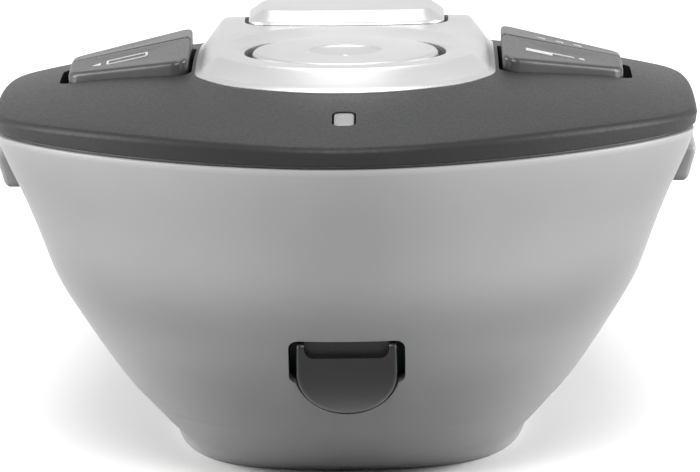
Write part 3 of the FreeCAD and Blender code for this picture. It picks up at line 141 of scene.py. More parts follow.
def shrink(edge, middle, shares, height):
    """Rings that shrink towards a middle place, each point at the height a function gives."""
    rows = []
    for share in shares:
        x = edge[:, 0] * (1 - share) + middle[0] * share
        y = edge[:, 1] * (1 - share) + middle[1] * share
        rows.append(np.column_stack([x, y, height(x, y, share)]))
    return rows


def tell(*pieces):
    """Prints each piece's name, its number of faces and its extent in millimetres."""
    for piece in pieces:
        points = np.empty(len(piece.data.vertices) * 3)
        piece.data.vertices.foreach_get("co", points)
        size = np.ptp(points.reshape(-1, 3), axis=0) / MM
        print("%s: %d faces, %.1f x %.1f x %.1f mm" % (piece.name, len(piece.data.polygons), *size))


# %% [markdown]
# ## Bars, turned forms and cuts
# Openings in a moulded wall have crisp edges. They could be worked into the rings, but then
# every ring would have to follow every opening. A cut with a plain bar or a turned form is
# shorter, and the sharp edges are found again by their angle.

# %% Bars, turned forms and cuts


def carve(obj, cutters, operation, smooth_angle):
    """Cuts solids out of a piece, or keeps what they share, and removes the cutters."""
    for cutter in cutters:
        step = obj.modifiers.new("Carve", "BOOLEAN")
        step.object = cutter
        step.operation = operation
        step.solver = "EXACT"
    graph = bpy.context.evaluated_depsgraph_get()
    mesh = bpy.data.meshes.new_from_object(obj.evaluated_get(graph))
    obj.modifiers.clear()
    obj.data = mesh
    smooth(mesh, smooth_angle)
    for cutter in cutters:
        bpy.data.objects.remove(cutter, do_unlink=True)


def rectangle(x_low, x_high, y_low, y_high):
    """Corners of a rectangle between two places on each axis, anticlockwise."""
    return [(x_low, y_low), (x_high, y_low), (x_high, y_high), (x_low, y_high)]


def circle(x, y, radius, count=24):
    """Points of a circle about a place."""
    angle = np.linspace(0, 2 * math.pi, count, endpoint=False)
    return np.column_stack([x + radius * np.cos(angle), y + radius * np.sin(angle)])


def polygon_bar(name, outline, low, high, axis="Z"):
    """A straight bar whose section is an outline: along Z it is (x, y), along Y it is (x, z)."""
    outline = np.asarray(outline, dtype=float)
    rings = []
    for value in (low, high):
        level = np.full(len(outline), float(value))
        columns = [outline[:, 0], outline[:, 1], level]
        if axis == "Y":
            columns = [outline[:, 0], level, outline[:, 1]]
        rings.append(np.stack(columns, axis=-1))
    return shell(name, np.array(rings))


def box(name, x, y, z):
    """A plain box between two places on each axis, for cutting."""
    return polygon_bar(name, rectangle(*x, *y), z[0], z[1])


def lathe(name, profile, centre, turns, smooth_angle=USUAL_ANGLE):
    """A profile of (radius, height) turned about an upright axis: at each turn the place is the
    centre plus the radius times the turn's cosine and sine."""
    profile = np.asarray(profile, dtype=float)
    angle = np.linspace(0, 2 * math.pi, turns, endpoint=False)
    radius, height = profile[:, 0][:, None], profile[:, 1][:, None]
    grid = np.stack([centre[0] + radius * np.cos(angle), centre[1] + radius * np.sin(angle),
                     height + 0 * angle], axis=-1)
    return shell(name, grid, smooth_angle)


# %% [markdown]
# ## Rounded outlines
# Keys and openings have corners of different sizes, and their rolled edges draw the outline
# in. A bevel modifier could round them. An outline whose corner arcs keep their centres is
# used instead, because its point count stays the same at every inset and the rings match.

# %% Rounded outlines


def rounded_outline(corners, radius, inset=0.0, steps=8, along=6):
    """A convex outline drawn in by an inset, each corner an arc whose centre stays in place."""
    corners = np.asarray(corners, dtype=float)
    radii = np.broadcast_to(np.asarray(radius, dtype=float), len(corners))
    ahead = np.roll(corners, -1, axis=0) - corners
    ahead /= np.linalg.norm(ahead, axis=1)[:, None]
    inward = np.stack([-ahead[:, 1], ahead[:, 0]], axis=-1)
    points = []
    for k in range(len(corners)):
        before, after = inward[k - 1], inward[k]
        reach = (before + after) / (1 + float(before @ after))
        centre = corners[k] + reach * max(radii[k], inset)
        small = max(radii[k] - inset, 0.0)
        start, end = math.atan2(-before[1], -before[0]), math.atan2(-after[1], -after[0])
        end += 2 * math.pi if end < start else 0
        for angle in np.linspace(start, end, steps + 1):
            points.append(centre + small * np.array([math.cos(angle), math.sin(angle)]))
        follow = corners[(k + 1) % len(corners)]
        nxt = inward[(k + 1) % len(corners)]
        reach = (after + nxt) / (1 + float(after @ nxt))
        size = radii[(k + 1) % len(corners)]
        target = follow + reach * max(size, inset) - after * max(size - inset, 0.0)
        last = points[-1]
        for share in np.linspace(0, 1, along + 2)[1:-1]:
            points.append(last + (target - last) * share)
    return np.array(points)


def nose_outline(middle, radius, half, cheek, corner, rear, steps=24, along=22, across=12):
    """Plan outline: a front arc about a middle, two cheek arcs, straight sides, rear corners."""
    far, near = radius - cheek, half - cheek
    drop = math.sqrt(far * far - near * near)
    turn = math.atan2(near, drop)
    hair = 0.01
    points = []

    def arc(cx, cy, size, start, end, count):
        """Points of an arc about a centre from one turn to another."""
        for angle in np.linspace(start, end, count):
            points.append((cx + size * math.cos(angle), cy + size * math.sin(angle)))

    down = -math.pi / 2
    arc(0, middle, radius, down - turn, down + turn, steps * 3)
    arc(near, middle - drop, cheek, down + turn + hair, 0, steps // 2)
    for y in np.linspace(middle - drop, rear - corner, along)[1:-1]:
        points.append((half, y))
    arc(half - corner, rear - corner, corner, 0, math.pi / 2, steps // 2)
    for x in np.linspace(half - corner, corner - half, across)[1:-1]:
        points.append((x, rear))
    arc(corner - half, rear - corner, corner, math.pi / 2, math.pi, steps // 2)
    for y in np.linspace(rear - corner, middle - drop, along)[1:-1]:
        points.append((-half, y))
    arc(-near, middle - drop, cheek, math.pi, math.pi * 1.5 - turn - hair, steps // 2)
    return np.array(points)


def bend(start, corner, end, count):
    """Points of a curve that leaves one place, aims at a corner and ends at another place: the
    three are weighted by (1 - s) squared, 2 s (1 - s) and s squared."""
    s = np.linspace(0, 1, count)[:, None]
    return (1 - s) ** 2 * np.array(start) + 2 * s * (1 - s) * np.array(corner) + s * s * np.array(end)


# %% [markdown]
# ## Outer form
# The body is broad at the deck and narrow at the foot, with a blunt nose. It could be a cage
# of points set by hand. It is a stack of plan outlines instead. Each has four free curves, and
# each of its numbers is a smooth function of height, because that keeps every section fair
# and gives the same form as the solids. Nose and tail are held back where the solids end.

# %% Outer form
# Each row: height, nose, half width, widest place, tail, fullness of the nose and of the cheek
LEVELS = np.array([
    (0.0, -41.0, 16.0, 16.3, 52.0, 1.08, 0.78), (1.2, -45.0, 16.8, 8.0, 57.0, 0.92, 0.73),
    (3.2, -49.2, 18.0, -5.0, 60.5, 0.84, 0.67), (6.5, -53.9, 19.8, -20.5, 63.5, 0.78, 0.58),
    (10.5, -58.0, 21.7, -31.0, 65.5, 0.73, 0.52), (15.0, -61.6, 23.6, -40.0, 67.0, 0.6, 0.42),
    (19.8, -64.3, 25.4, -45.0, 68.0, 0.53, 0.36), (25.0, -66.1, 27.5, -46.0, 68.0, 0.49, 0.34),
    (31.0, -67.6, 30.0, -46.0, 68.0, 0.467, 0.333), (38.4, -67.9, 30.1, -46.0, 68.0, 0.467, 0.333),
])
TAIL_REACH, TAIL_FULLNESS = 0.52, 0.90
NOSE_END, TAIL_END = -67.66, 67.99
CREST_TOP, CREST_PLACE, CREST_BOW, CREST_FALL, CREST_SOFTNESS = 36.4, -40.0, 216.0, 0.165, 20.0
CROWN_BOW = 260.0
SEAM_TOP, SEAM_PLACE, SEAM_FALL, SEAM_SOFTNESS = 31.0, -46.0, 0.155, 40.0
COLUMNS = (48, 64, 64, 48)


def level_numbers(z):
    """Each outline number at a height, by cubic pieces whose slopes are finite differences."""
    heights = LEVELS[:, 0]
    slopes = np.gradient(LEVELS, heights, axis=0)
    z = np.clip(z, heights[0], heights[-1])
    k = np.clip(np.searchsorted(heights, z) - 1, 0, len(heights) - 2)
    step = heights[k + 1] - heights[k]
    t = (z - heights[k]) / step
    a, b = 2 * t ** 3 - 3 * t ** 2 + 1, t ** 3 - 2 * t ** 2 + t
    c, d = -2 * t ** 3 + 3 * t ** 2, t ** 3 - t ** 2
    return [a * LEVELS[k, j] + b * step * slopes[k, j] + c * LEVELS[k + 1, j]
            + d * step * slopes[k + 1, j] for j in range(1, 7)]


def hull_xy(turn, z, inset=0.0, lift=0.0):
    """Plan place on the body at a turn from 0 to 4 (nose, right, tail, left) and a height. Each
    quarter is a cubic curve through four control places, weighted by the products of t and
    1 - t: it leaves the nose or the tail straight across and meets the flank along it."""
    nose, half, widest, tail, blunt, cheek = level_numbers(z - lift)
    nose, tail = np.maximum(nose, NOSE_END), np.minimum(tail, TAIL_END)
    nose, half, tail = nose + inset, half - inset, tail - inset
    side = np.where(turn <= 2, 1.0, -1.0)
    fold = np.where(turn <= 2, turn, 4 - turn)
    front = fold <= 1
    t = np.where(front, fold, fold - 1)
    b0, b1, b2, b3 = (1 - t) ** 3, 3 * t * (1 - t) ** 2, 3 * t ** 2 * (1 - t), t ** 3
    x_front = b1 * blunt * half + (b2 + b3) * half
    y_front = (b0 + b1) * nose + b2 * (widest - cheek * (widest - nose)) + b3 * widest
    x_back = (b0 + b1) * half + b2 * TAIL_FULLNESS * half
    y_back = b0 * widest + b1 * (widest + TAIL_REACH * (tail - widest)) + (b2 + b3) * tail
    return side * np.where(front, x_front, x_back), np.where(front, y_front, y_back)


def crest(y):
    """Height along the middle: an arc towards the nose, a softened slope towards the tail."""
    ahead, back = np.minimum(y - CREST_PLACE, 0), np.maximum(y - CREST_PLACE, 0)
    fall = CREST_FALL * (np.hypot(back, CREST_SOFTNESS) - CREST_SOFTNESS)
    return CREST_TOP - ahead ** 2 / CREST_BOW - fall


def crown(x, y):
    """Height of the cover's top: the crest less the width squared over a constant."""
    return crest(y) - x ** 2 / CROWN_BOW


def seam(y):
    """Height of the line where the grey hull ends: level in front, then a softened slope."""
    return SEAM_TOP - SEAM_FALL * (np.hypot(np.maximum(y - SEAM_PLACE, 0), SEAM_SOFTNESS) - SEAM_SOFTNESS)


TURNS = np.concatenate([np.linspace(k, k + 1, count + 1)[:-1] for k, count in enumerate(COLUMNS)])


def meet(height, inset=0.0, start=32.0, tries=40):
    """Height at which each column of the body meets a surface, by repeated substitution."""
    z = np.full(len(TURNS), start)
    for _ in range(tries):
        x, y = hull_xy(TURNS, z, inset)
        z = height(x, y)
    return z


def ring(z, inset=0.0, lift=0.0):
    """A ring of the outer form at a height, drawn in by an inset."""
    x, y = hull_xy(TURNS, z, inset, lift)
    return np.stack([x, y, z + 0 * x], axis=-1)


seam_z = meet(lambda x, y: seam(y))
print("seam: %.1f mm wide, %.1f mm long" % tuple(np.ptp(ring(seam_z), axis=0)[:2]))

# %% [markdown]
# ## Grey hull and battery door
# The hull is a moulded shell with a thin lap tongue under the cover, and the door slides in
# its foot and tail. Both could be built apart. Here the hull is one closed skin: rings climb
# the outside, cross the tongue and go down the inside. The door starts as the same skin, so
# that the two always match. Rings lie closer where a fine contour line runs near the foot.

# %% Skin of the hull and the door
RIDGE_RISE, RIDGE_PLACE, RIDGE_WIDTH = 0.24, 18.4, 2.9
CONTOUR_LINES, CONTOUR_SOFTNESS = ((2.4, 0.06), (5.8, 0.07)), 0.12
SWELL_END, SWELL_FADE = -8.0, 34.0
WALL, FLOOR, LOW_TOP = 1.8, 2.0, 12.0
SEAM_EDGE, SEAM_ROLL = 0.06, 0.2
TONGUE_INSET, TONGUE_HEIGHT = 0.95, 1.2


def swell(y, z):
    """How far the nose stands out at a height: a soft ridge, less two fine steps at the foot."""
    ridge = RIDGE_RISE * np.exp(-((z - RIDGE_PLACE) / RIDGE_WIDTH) ** 2)
    steps = sum(depth * (1 - np.tanh((z - height) / CONTOUR_SOFTNESS)) / 2
                for height, depth in CONTOUR_LINES)
    fade = np.clip((SWELL_END - y) / SWELL_FADE, 0, 1)
    return (ridge - steps) * fade ** 2 * (3 - 2 * fade)


def outer_ring(z):
    """A ring of the outer form, set out by the swell."""
    _, y = hull_xy(TURNS, z)
    return ring(z, -swell(y, z))


def hull_skin(name):
    """Rings up the outside, close at the contour lines, over the lap and down the inside."""
    near = np.array([-0.3, -0.18, -0.1, -0.04, 0.04, 0.1, 0.18, 0.3])
    low = [np.linspace(0, FLOOR, 8), (2.4, 3.2, 3.8, 4.5, 5.1, 5.8), np.linspace(6.6, LOW_TOP, 9)]
    low += [height + near for height, _ in CONTOUR_LINES]
    rows = [outer_ring(np.full(len(TURNS), z)) for z in np.sort(np.concatenate(low))]
    for share in np.linspace(0, 1, 46)[1:]:
        rows.append(outer_ring(LOW_TOP + share * (seam_z - (LOW_TOP + SEAM_ROLL))))
    rows.append(ring(seam_z - SEAM_EDGE, SEAM_EDGE))
    for rise, inset in ((0, SEAM_ROLL), (0, TONGUE_INSET), (TONGUE_HEIGHT, TONGUE_INSET),
                        (TONGUE_HEIGHT, WALL)):
        rows.append(ring(seam_z + rise, inset))
    for share in np.linspace(1, 0, 30) ** 1.35:
        rows.append(ring(FLOOR + share * (seam_z - FLOOR), WALL, FLOOR))
    return shell(name, np.array(rows), SOFT_ANGLE)


hull = hull_skin("hull")
door = hull_skin("door")
tell(hull)

# %% [markdown]
# ## Openings of the hull and the door
# The trigger sits in a mouth under the nose, the flank keys in slots, and the door fills a
# strip of the foot and the tail and has four grip grooves. The openings could be loops in the
# rings. Plain bars cut them instead, because each opening then has its own few numbers. The
# hull's strip is 0.1 mm larger than the door on every side, which gives the parting line.

# %% Openings of the hull and the door
DOOR_HALF, DOOR_FRONT, DOOR_TOP, DOOR_GAP = 12.5, -14.0, 5.0, 0.1
PAST_TAIL, UNDER_FOOT = 72.0, -2.0
TRIGGER_MIDDLE = 12.45
MOUTH_HALF, MOUTH_LOW, MOUTH_HIGH, MOUTH_CORNER = 4.95, 11.1, 15.4, 0.8
BOWL_RADIUS, BOWL_TOP = 4.55, 15.3
MOUTH_RUN = (-70.0, -52.4)
SLOT_NEAR, SLOT_FAR, SLOT_RUN, SLOT_RISE = 21.0, 36.0, (-44.15, -27.85), (25.65, 29.15)
GRIP_HALF, GRIP_FRONT, GRIP_WIDTH, GRIP_PITCH, GRIP_DEPTH = 6.0, -8.0, 0.8, 2.0, 0.5
SIDES = (("Left", -1), ("Right", 1))


def strip(name, margin):
    """The bar that parts the door from the hull: the door's width and height and a margin."""
    half = DOOR_HALF + margin
    return box(name, (-half, half), (DOOR_FRONT - margin, PAST_TAIL), (UNDER_FOOT, DOOR_TOP + margin))


def trigger_mouth():
    """Two bars along the body: a slot with round corners and a bowl under it, flat on top."""
    slot = rounded_outline(rectangle(-MOUTH_HALF, MOUTH_HALF, MOUTH_LOW, MOUTH_HIGH), MOUTH_CORNER)
    bowl = circle(0.0, TRIGGER_MIDDLE, BOWL_RADIUS, 96)
    bowl[:, 1] = np.minimum(bowl[:, 1], BOWL_TOP)
    return [polygon_bar("CutSlot", slot, *MOUTH_RUN, "Y"), polygon_bar("CutBowl", bowl, *MOUTH_RUN, "Y")]


carve(door, [strip("CutDoor", 0.0)], "INTERSECT", SOFT_ANGLE)
cutters = trigger_mouth() + [strip("CutStrip", DOOR_GAP)]
for name, side in SIDES:
    near, far = sorted((side * SLOT_NEAR, side * SLOT_FAR))
    cutters.append(box("CutSide" + name, (near, far), SLOT_RUN, SLOT_RISE))
carve(hull, cutters, "DIFFERENCE", SOFT_ANGLE)
grips = []
for k in range(4):
    run = (GRIP_FRONT + GRIP_PITCH * k, GRIP_FRONT + GRIP_WIDTH + GRIP_PITCH * k)
    grips.append(box("CutGrip%d" % k, (-GRIP_HALF, GRIP_HALF), run, (UNDER_FOOT, GRIP_DEPTH)))
carve(door, grips, "DIFFERENCE", SOFT_ANGLE)

# The lap tongue above the seam takes the second, dark material: painted shade, so that the gap under the
# cover reads as a shadow line
middles = np.empty(len(hull.data.polygons) * 3)
hull.data.polygons.foreach_get("center", middles)
middles = middles.reshape(-1, 3) / MM
painted_gap_shade = middles[:, 2] > seam(middles[:, 1]) - 0.02
hull.data.polygons.foreach_set("material_index", painted_gap_shade.astype(np.int32))
for piece, body, node in ((hull, "housing", "lower_shell"), (door, "battery_door_body", "battery_door")):
    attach(piece, body)
    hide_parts(node)
tell(hull, door)

# %% [markdown]
# ## Dark cover
# The cover is a thin crowned moulding that stands on the hull with a fine gap. It could be a
# flat plate, bent afterwards. Here its wall climbs from the seam to the crown, rolls over a
# small radius and runs inward as the crown's height function, so that it follows the solids
# everywhere. The underside follows one wall lower.

# %% Skin of the cover
COVER_CENTRE = (0.0, -8.0)
COVER_GAP, COVER_EDGE, COVER_ROLL = 0.3, 0.12, 0.55
LAP_HEIGHT, LAP_INSET = 1.05, 0.9


def cover_skin(name):
    """Rings from the underside's middle to the lap, up the wall, over the edge and inward."""
    foot, edge_z = seam_z + COVER_GAP, meet(crown)
    shares = np.concatenate([np.linspace(0, 0.2, 8)[1:], np.linspace(0.2, 0.98, 40)[1:]])
    under = ring(meet(lambda x, y: crown(x, y) - WALL, WALL), WALL)
    rows = shrink(under, COVER_CENTRE, shares[::-1], lambda x, y, share: crown(x, y) - WALL)
    rows.append(under)
    for rise, inset in ((LAP_HEIGHT, WALL), (LAP_HEIGHT, LAP_INSET), (0, LAP_INSET), (0, COVER_EDGE),
                        (COVER_EDGE, 0.0)):
        rows.append(ring(foot + rise, inset))
    for share in np.linspace(0, 1, 8)[1:]:
        rows.append(ring(foot + COVER_EDGE + share * (edge_z - COVER_ROLL - foot - COVER_EDGE)))
    for angle in np.linspace(0, math.pi / 2, 9)[1:]:
        x, y = hull_xy(TURNS, edge_z, COVER_ROLL * (1 - math.cos(angle)))
        rows.append(np.stack([x, y, crown(x, y) - COVER_ROLL * (1 - math.sin(angle))], axis=-1))
    rows += shrink(rows[-1], COVER_CENTRE, shares, lambda x, y, share: crown(x, y))
    return shell(name, np.array(rows), SOFT_ANGLE)


cover = cover_skin("cover")
tell(cover)

# %% [markdown]
# ## Openings of the cover
# Two wells hold the dark keys, one opening the plate and a small one the window. They could
# be panels with walls of their own. They are cut straight down with bars made from the
# outlines that the plate and the window use, so that each gap stays even all round.

# %% Openings of the cover
WELL = [(13.25, -44.95), (24.9, -38.95), (24.9, -27.65), (13.25, -23.45)]
WELL_CORNER_SIZES = [1.2, 2.1, 1.8, 1.2]
DISK_PLACE = -40.7
# Nose radius about the disk, half width, cheek radius, rear corner radius, rear end
PLATE_SIZES = (13.3, 12.5, 5.0, 4.0, -12.0)
PLATE_LEDGE = 1.5
WINDOW_HALF, WINDOW_FRONT, WINDOW_BACK, WINDOW_CORNER, WINDOW_GAP = 0.87, -62.6, -59.5, 0.5, 0.14
CUT_LOW, CUT_HIGH = 20.0, 45.0


def mirrored(corners, side):
    """The same corners on one side, kept anticlockwise."""
    corners = [(side * x, y) for x, y in corners]
    return corners if side > 0 else corners[::-1]


def plate_outline(inset):
    """Plan outline of the silver plate: a round nose about the disk, straight sides."""
    return nose_outline(DISK_PLACE, *(size - inset for size in PLATE_SIZES))


def window_outline(margin):
    """Plan outline of the light window, set out by a margin."""
    half, front, back = WINDOW_HALF + margin, WINDOW_FRONT - margin, WINDOW_BACK + margin
    return rounded_outline(rectangle(-half, half, front, back), WINDOW_CORNER + margin)


cutters = [polygon_bar("CutPlate", plate_outline(PLATE_LEDGE), CUT_LOW, CUT_HIGH),
           polygon_bar("CutWindow", window_outline(WINDOW_GAP), CUT_LOW, CUT_HIGH)]
for name, side in SIDES:
    well = rounded_outline(mirrored(WELL, side), WELL_CORNER_SIZES[::side])
    cutters.append(polygon_bar("CutWell" + name, well, CUT_LOW, CUT_HIGH))
carve(cover, cutters, "DIFFERENCE", SOFT_ANGLE)
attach(cover, "housing")
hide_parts("top_cover")
tell(cover)

# %% [markdown]
# ## Silver plate
# The plate is a raised silver moulding with a bevelled side. It could be an extruded outline
# with a bevel modifier. Its rings follow the outline at growing insets instead, because the
# section is then free: a hollow flare, a straight bevel, a rolled edge, and a top that falls
# away rearwards. The disk's hole, the scoop behind it and the silver key's hole are cut.

# %% Silver plate
PLATE_TOP, PLATE_TURN, PLATE_RUN, PLATE_ARC = 37.3, -24.5, 20.0, 36.0
PLATE_MIDDLE = (0.0, -33.0)
# Inset and depth of the rings under the crown, then inset and share of the rise above it
PLATE_FOOT = ((1.7, -1.6), (1.7, -0.45), (-0.40, -0.45))
BEVEL = np.vstack([bend((-0.45, 0.03), (-0.12, 0.10), (0.06, 0.20), 8),
                   bend((0.2, 0.275), (0.6, 0.475), (1.2, 0.79), 7),
                   bend((1.28, 0.83), (1.56, 1.0), (2.05, 1.0), 9)[1:]])
# Radius and height where each rim's curve starts, aims and ends
HOLE_RIM = ((8.74, 36.88), (9.1, 37.25), (10.2, 37.305))
SCOOP_RIM = ((4.5, 36.75), (8.2, 36.80), (9.8, 37.305))
SCOOP_PLACE, SCOOP_CORE = -38.1, 0.3
REAR_KEY_GAP = 0.35


def plate_top(y):
    """Height of the plate's top: level in front, then an arc of 36 mm."""
    run = np.clip(y - PLATE_TURN, 0, PLATE_RUN)
    return PLATE_TOP - (PLATE_ARC - np.sqrt(PLATE_ARC ** 2 - run ** 2))


def plate_skin():
    """Rings of the plate: each is an outline at an inset, at a share of the plate's height."""
    rows = []
    for inset, depth in PLATE_FOOT:
        outline = plate_outline(inset)
        rows.append(np.column_stack([outline, crown(outline[:, 0], outline[:, 1]) + depth]))
    for inset, share in BEVEL:
        outline = plate_outline(inset)
        low, high = crown(outline[:, 0], outline[:, 1]), plate_top(outline[:, 1])
        rows.append(np.column_stack([outline, low + (high - low) * share]))
    rows += shrink(rows[-1], PLATE_MIDDLE, np.linspace(0, 0.96, 22)[1:], lambda x, y, share: plate_top(y))
    return shell("plate", np.array(rows), CRISP_ANGLE)


def rear_key_outline(inset):
    """Plan outline of the silver key: a bowed front, round cheeks, straight sides."""
    half, bow, front, cheek, corner, rear = 8.65, 0.75, -27.9, 2.4, 1.5, -17.3
    radius = (half * half + bow * bow) / (2 * bow)
    return nose_outline(front + radius, radius - inset, half - inset, cheek - inset, corner - inset / 2,
                        rear - inset, 16)


plate = plate_skin()
profile = [(HOLE_RIM[0][0], CUT_LOW)] + bend(*HOLE_RIM, 7).tolist() + [(HOLE_RIM[2][0], CUT_HIGH)]
disk_hole = lathe("CutDisk", profile, (0, DISK_PLACE), 128)
profile = [(SCOOP_CORE, SCOOP_RIM[0][1])] + bend(*SCOOP_RIM, 12).tolist()
profile += [(SCOOP_RIM[2][0], CUT_HIGH), (SCOOP_CORE, CUT_HIGH)]
rear_scoop = lathe("CutScoop", profile, (0, SCOOP_PLACE), 128)
key_hole = polygon_bar("CutRearKey", rear_key_outline(-REAR_KEY_GAP), CUT_LOW, CUT_HIGH)
carve(plate, [disk_hole, rear_scoop, key_hole], "DIFFERENCE", CRISP_ANGLE)
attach(plate, "housing")
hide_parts("control_plate")
tell(plate)

# %% [markdown]
# ## Thumb disk
# The disk is a round rocker under the thumb: a rounded rim, an almost level face, a bowl with
# a crisp edge and a small dome in its middle. It could be pressed into a cylinder with the
# sculpting brushes. One profile is turned instead, because the real disk is a turned form and
# every edge keeps its radius.

# %% Thumb disk
DISK_FOOT, DISK_FOOT_RADIUS, DISK_CORE = 35.2, 7.2, 0.4
DISK_RADIUS, DISK_SKIRT, DISK_ROLL, DISK_SHOULDER, DISK_TOP = 8.06, 35.4, 0.45, 36.65, 37.1


def disk_profile():
    """Radius and height: rounded rim, level face, a crisp-edged bowl 0.5 mm deep, a small dome."""
    rim = [(DISK_FOOT_RADIUS, DISK_FOOT), (DISK_RADIUS, DISK_SKIRT)]
    for a in np.linspace(0, math.pi / 2, 7):
        rim.append((DISK_RADIUS - DISK_ROLL * (1 - math.cos(a)), DISK_SHOULDER + DISK_ROLL * math.sin(a)))
    face = [(r, DISK_TOP - 0.05 * (1 - (r / 7.6) ** 2)) for r in np.linspace(7.2, 3.5, 10)]
    bowl = [(3.25, 37.05), (3.15, 37.0), (3.05, 36.93)]
    bowl += [(r, 36.55 + 0.38 * (r / 3.05) ** 2) for r in np.linspace(2.95, 0.5, 16)]
    turns = np.linspace(0, math.pi / 2 - 0.05, 7)
    dome = [(0.45 * math.cos(a), 36.57 + 0.16 * math.sin(a)) for a in turns]
    return [(DISK_CORE, DISK_FOOT)] + rim + face + bowl + dome


disk = lathe("disk", disk_profile(), (0, DISK_PLACE), 128, SOFT_ANGLE)
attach(disk, "nav_disk_body")
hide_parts("nav_disk")
tell(disk)

# %% [markdown]
# ## Silver key
# Behind the disk stands a push key in the plate's colour. It could be cut from the plate's
# own skin, but it is its own piece and stands higher. Its rings step in along a hollow bevel,
# like the plate's, and its top falls away rearwards.

# %% Silver key
REAR_TOP, REAR_TURN, REAR_RUN, REAR_ARC = 38.5, -20.5, 6.0, 10.0
REAR_SKIRT, REAR_BEVEL_FOOT, REAR_MIDDLE = (35.0, 36.2, 37.3), 37.35, (0.0, -22.6)
KEY_BEVEL = np.vstack([bend((0.0, 0.0), (0.06, 0.12), (0.2, 0.22), 5),
                       bend((0.3, 0.29), (0.6, 0.5), (0.9, 0.71), 5),
                       bend((1.0, 0.78), (1.3, 1.0), (1.85, 1.0), 8)[1:]])


def rear_key_top(y):
    """Height of the silver key's top: level in front, then an arc of 10 mm."""
    run = np.clip(y - REAR_TURN, 0, REAR_RUN)
    return REAR_TOP - (REAR_ARC - np.sqrt(REAR_ARC ** 2 - run ** 2))


def rear_key_skin():
    """Rings of the key: an upright skirt, then an outline at an inset, at a share of the rise."""
    outline = rear_key_outline(0.0)
    rows = [np.column_stack([outline, np.full(len(outline), z)]) for z in REAR_SKIRT]
    for inset, share in KEY_BEVEL:
        outline = rear_key_outline(inset)
        rise = rear_key_top(outline[:, 1]) - REAR_BEVEL_FOOT
        rows.append(np.column_stack([outline, REAR_BEVEL_FOOT + rise * share]))
    rows += shrink(rows[-1], REAR_MIDDLE, np.linspace(0, 0.96, 14)[1:], lambda x, y, share: rear_key_top(y))
    return shell("rear_key", np.array(rows), CRISP_ANGLE)


rear_key = rear_key_skin()
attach(rear_key, "rear_button_body")
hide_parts("rear_button")
tell(rear_key)

# %% [markdown]
# ## Dark keys
# Four dark push keys stand in two wells, with a narrow gap between neighbours. Each could be
# a box with a bevel modifier. Its rings step in along a rolled edge instead, and the face is
# a tilted plane with a slight dish, because the real faces fall outward as the deck does.

# %% Dark keys
KEY_CORNERS = {
    "front": [(13.6, -44.6), (24.1, -38.6), (24.1, -33.275), (13.6, -33.975)],
    "rear": [(13.6, -33.625), (24.1, -32.925), (24.1, -28.0), (13.6, -23.8)],
}
KEY_CORNER_SIZES = {"front": [1.0, 1.7, 0.6, 0.6], "rear": [0.6, 0.6, 1.4, 1.0]}
CROSS_SLOPE = math.tan(math.radians(12.2))
ROW_SLOPE = {"front": 0.0482, "rear": -0.0715}
KEY_TOP, KEY_INNER, KEY_PARTING = 37.4, 13.6, -33.8
KEY_FOOT, KEY_ROLL, KEY_DISH = 32.0, 0.42, 0.10


def key_face(row, x, y):
    """Height of a key's face: it falls outward and tilts along its row."""
    return KEY_TOP - CROSS_SLOPE * (np.abs(x) - KEY_INNER) + ROW_SLOPE[row] * (y - KEY_PARTING)


def key_skin(row, side):
    """Rings of a key: an upright skirt, a rolled edge, then the face less a sine-shaped dish."""
    corners, sizes = mirrored(KEY_CORNERS[row], side), KEY_CORNER_SIZES[row][::side]
    outline = rounded_outline(corners, sizes)
    rows = [np.column_stack([outline, np.full(len(outline), KEY_FOOT)])]
    for angle in np.linspace(0, math.pi / 2, 8):
        outline = rounded_outline(corners, sizes, KEY_ROLL * (1 - math.cos(angle)))
        top = key_face(row, outline[:, 0], outline[:, 1])
        rows.append(np.column_stack([outline, top - KEY_ROLL * (1 - math.sin(angle))]))

    def dished(x, y, share):
        """Height of the face, lowered towards its middle."""
        return key_face(row, x, y) - KEY_DISH * math.sin(share * math.pi / 2) ** 2

    rows += shrink(rows[-1], np.mean(corners, axis=0), np.linspace(0, 0.95, 12)[1:], dished)
    return shell("key_%s_%s" % (row, "right" if side > 0 else "left"), np.array(rows), SOFT_ANGLE)


# %% [markdown]
# ## Printed marks
# The keys carry small printed signs. They could be an image on the face. They are thin shapes
# that lie on the face and ride with the key, because they stay sharp from near by and need no
# image. Each is a plain bar, a frame of bars, an arrow head or a dot.

# %% Printed marks
MARK_DEPTH, MARK_SINK, MARK_RISE = 0.14, 0.06, 0.05


def mark(name, row, outline):
    """A printed shape: its outline laid on the key's face, from inside the key to just over it."""
    outline = np.asarray(outline, dtype=float)
    top = key_face(row, outline[:, 0], outline[:, 1])
    rings = [np.column_stack([outline, top - MARK_DEPTH]),
             np.column_stack([outline, top + MARK_RISE - MARK_SINK])]
    return shell(name, np.array(rings))


def bar(x, y, length, width):
    """Corners of a thin bar about a place."""
    return rectangle(x - length / 2, x + length / 2, y - width / 2, y + width / 2)


def frame_bars(x, y, length, width, line):
    """Four bars that outline a rectangle."""
    return [bar(x, y - width / 2, length, line), bar(x, y + width / 2, length, line),
            bar(x - length / 2, y, line, width), bar(x + length / 2, y, line, width)]


